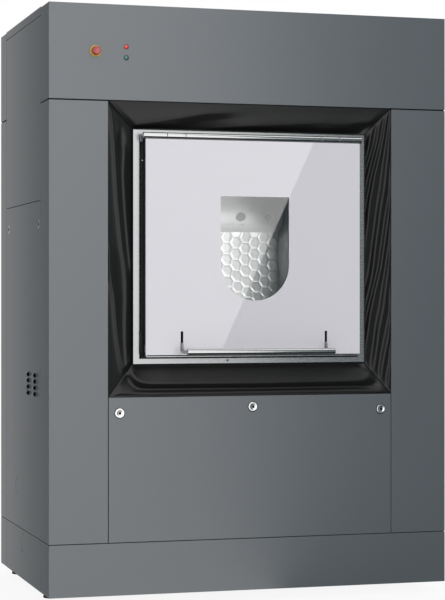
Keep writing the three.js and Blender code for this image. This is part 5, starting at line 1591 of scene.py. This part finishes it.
# %% List the creases of the sides
left_creases = [
    ([(0.008, 0.09), (0.054, 0.18), (0.124, 0.25), (0.206, 0.30), (0.327, 0.38), (0.429, 0.49), (0.51, 0.58),
      (0.56, 0.67), (0.616, 0.72), (0.706, 0.74), (0.806, 0.71), (0.862, 0.71), (0.94, 0.75), (1.0, 0.80)],
     0.085, 6.5, 3.2),
    ([(0.114, 0.69), (0.207, 0.64), (0.283, 0.67), (0.365, 0.72), (0.472, 0.81), (0.60, 0.93)],
     0.075, 4.5, 3.0),
    ([(0.50, 0.0), (0.558, 0.06), (0.614, 0.13), (0.673, 0.25), (0.747, 0.30), (0.824, 0.38), (0.915, 0.51),
      (0.985, 0.66)], 0.08, 6.5, 3.2),
    ([(0.05, 0.55), (0.085, 0.55), (0.12, 0.52)], 0.13, -6.0),
]
right_lines = [
    [(0.02, 0.41), (0.083, 0.52), (0.14, 0.73), (0.207, 0.89), (0.26, 0.99)],
    [(0.0, 0.10), (0.017, 0.16), (0.076, 0.27), (0.135, 0.41), (0.201, 0.60), (0.297, 0.78), (0.385, 0.85),
     (0.476, 0.94), (0.53, 1.0)],
    [(0.06, 0.0), (0.09, 0.03), (0.188, 0.14), (0.265, 0.21), (0.339, 0.35), (0.419, 0.46), (0.475, 0.54),
     (0.579, 0.64), (0.639, 0.72), (0.719, 0.89), (0.78, 1.0)],
    [(0.34, 0.0), (0.362, 0.06), (0.432, 0.16), (0.495, 0.25), (0.572, 0.37), (0.662, 0.59), (0.772, 0.78),
     (0.857, 0.86), (0.96, 0.98)],
    [(0.50, 0.0), (0.56, 0.08), (0.619, 0.16), (0.71, 0.25), (0.803, 0.42), (0.882, 0.50), (0.985, 0.62)],
    [(0.77, 0.0), (0.82, 0.10), (0.872, 0.21), (0.926, 0.30), (0.985, 0.36)],
    [(0.93, 0.0), (1.0, 0.12)],
]
print("left creases:", len(left_creases), "and right lines:", len(right_lines))

# %% Fold the sides
pleat_height, pleat_lean, pleat_apart, least_gap = 5.2, 1.7, 0.33, 0.02
crest_share, valley_share = 0.05, 0.34


def left_folds(s, t):
    """A few creases that wander down the panel."""
    return sum(crease(s, t, *row) for row in left_creases)


def right_folds(s, t):
    """Overlapping pleats: each rises slowly to its line and drops steeply behind it."""
    along = s[:, 0]
    lines = []
    for places in right_lines:
        first, last = places[0], places[-1]
        line = line_through(along, places)
        line = np.where(along < first[0], first[1] - pleat_lean * (first[0] - along), line)
        lines.append(np.where(along > last[0], last[1] + pleat_lean * (along - last[0]), line))
    for _ in range(2):
        lines.insert(0, lines[0] + pleat_apart)
        lines.append(lines[-1] - pleat_apart)
    places = []
    for line, outer_line in zip(lines[::-1][1:], lines[::-1]):
        gap = np.maximum(line - outer_line, least_gap)
        places += [(outer_line + crest_share * gap, pleat_height),
                   (outer_line + valley_share * gap, -pleat_height)]
    return profile_across(t, places)


folds = {"top": top_folds, "bottom": bottom_folds, "left": left_folds, "right": right_folds}
print("folded:", ", ".join(folds))

# %% [markdown]
# The four panels share one recipe: a grid between an outer and an inner edge, mitred at both ends, and
# lifted by the panel's folds. The folds fade out at the mitres and at both hems, where the cloth is held.

# %% Sew one panel
corners = {
    "bottom": ((-1, "low"), (1, "low")), "right": ((1, "low"), (1, "high")),
    "top": ((1, "high"), (-1, "high")), "left": ((-1, "high"), (-1, "low")),
}
mitre, mitre_fade, outer_hem, inner_hem = 0.016, 0.032, 0.05, 0.035


def panel_points(side):
    """The points of a panel's grid at the front end."""
    s, t = np.meshgrid(np.linspace(0, 1, along_steps + 1), np.linspace(0, 1, across_steps + 1), indexing="ij")
    (sign0, level0), (sign1, level1) = corners[side]
    place = {}
    for key, edge in (("out", outer), ("in", inner)):
        x = sign0 * edge["x"] * (1 - s) + sign1 * edge["x"] * s
        z = edge[level0] * (1 - s) + edge[level1] * s
        place[key] = (x, z)
    x = place["out"][0] * (1 - t) + place["in"][0] * t
    z = place["out"][1] * (1 - t) + place["in"][1] * t
    fold_s = s if side in ("bottom", "left") else 1 - s
    lift = folds[side](fold_s, t) * rise_and_fall(s, mitre, 1 - mitre, mitre_fade)
    held = np.clip(t / outer_hem, 0, 1) * np.clip((1 - t) / inner_hem, 0, 1)
    y = outer["y"] * (1 - t) + inner["y"] * t - lift * held * MM
    return np.stack([x, y, z], axis=-1).reshape(-1, 3)


def bellows_panel(end, side, facing):
    """One panel as a closed sheet, and the area of its cloth."""
    points = panel_points(side)
    if facing > 0:
        points[:, :2] *= -1
    wide = across_steps + 1
    faces = [(i * wide + j, i * wide + j + 1, (i + 1) * wide + j + 1, (i + 1) * wide + j)
             for i in range(along_steps) for j in range(across_steps)]
    panel = mesh_object(f"bellows_{side}_{end}", points, faces, smooth=True)
    panel.data.materials.append(rubber)
    with opened(panel.data) as shape:
        area = sum(face.calc_area() for face in shape.faces)
        if sum((face.normal for face in shape.faces), Vector()).dot(Vector((0, facing, 0))) < 0:
            bmesh.ops.reverse_faces(shape, faces=shape.faces)
    thick = panel.modifiers.new("cloth", "SOLIDIFY")
    thick.thickness = cloth_thick
    return panel, area


print("each panel has", along_steps, "x", across_steps, "squares")

# %% Hang the panels
half_turn = Matrix.Rotation(math.pi, 4, "Z")
for end, facing in ends:
    for side, ((sign0, level0), (sign1, level1)) in corners.items():
        panel, area = bellows_panel(end, side, facing)
        if level0 == level1:
            start, stop = Vector((0, 0, outer[level0])), Vector((0, 0, inner[level0]))
        else:
            start, stop = Vector((sign0 * outer["x"], 0, 0)), Vector((sign0 * inner["x"], 0, 0))
        if facing > 0:
            start, stop = half_turn @ start, half_turn @ stop
        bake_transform(panel)
        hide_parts(f"bellows_{end}")
print("bellows panels:", len(ends) * len(corners))
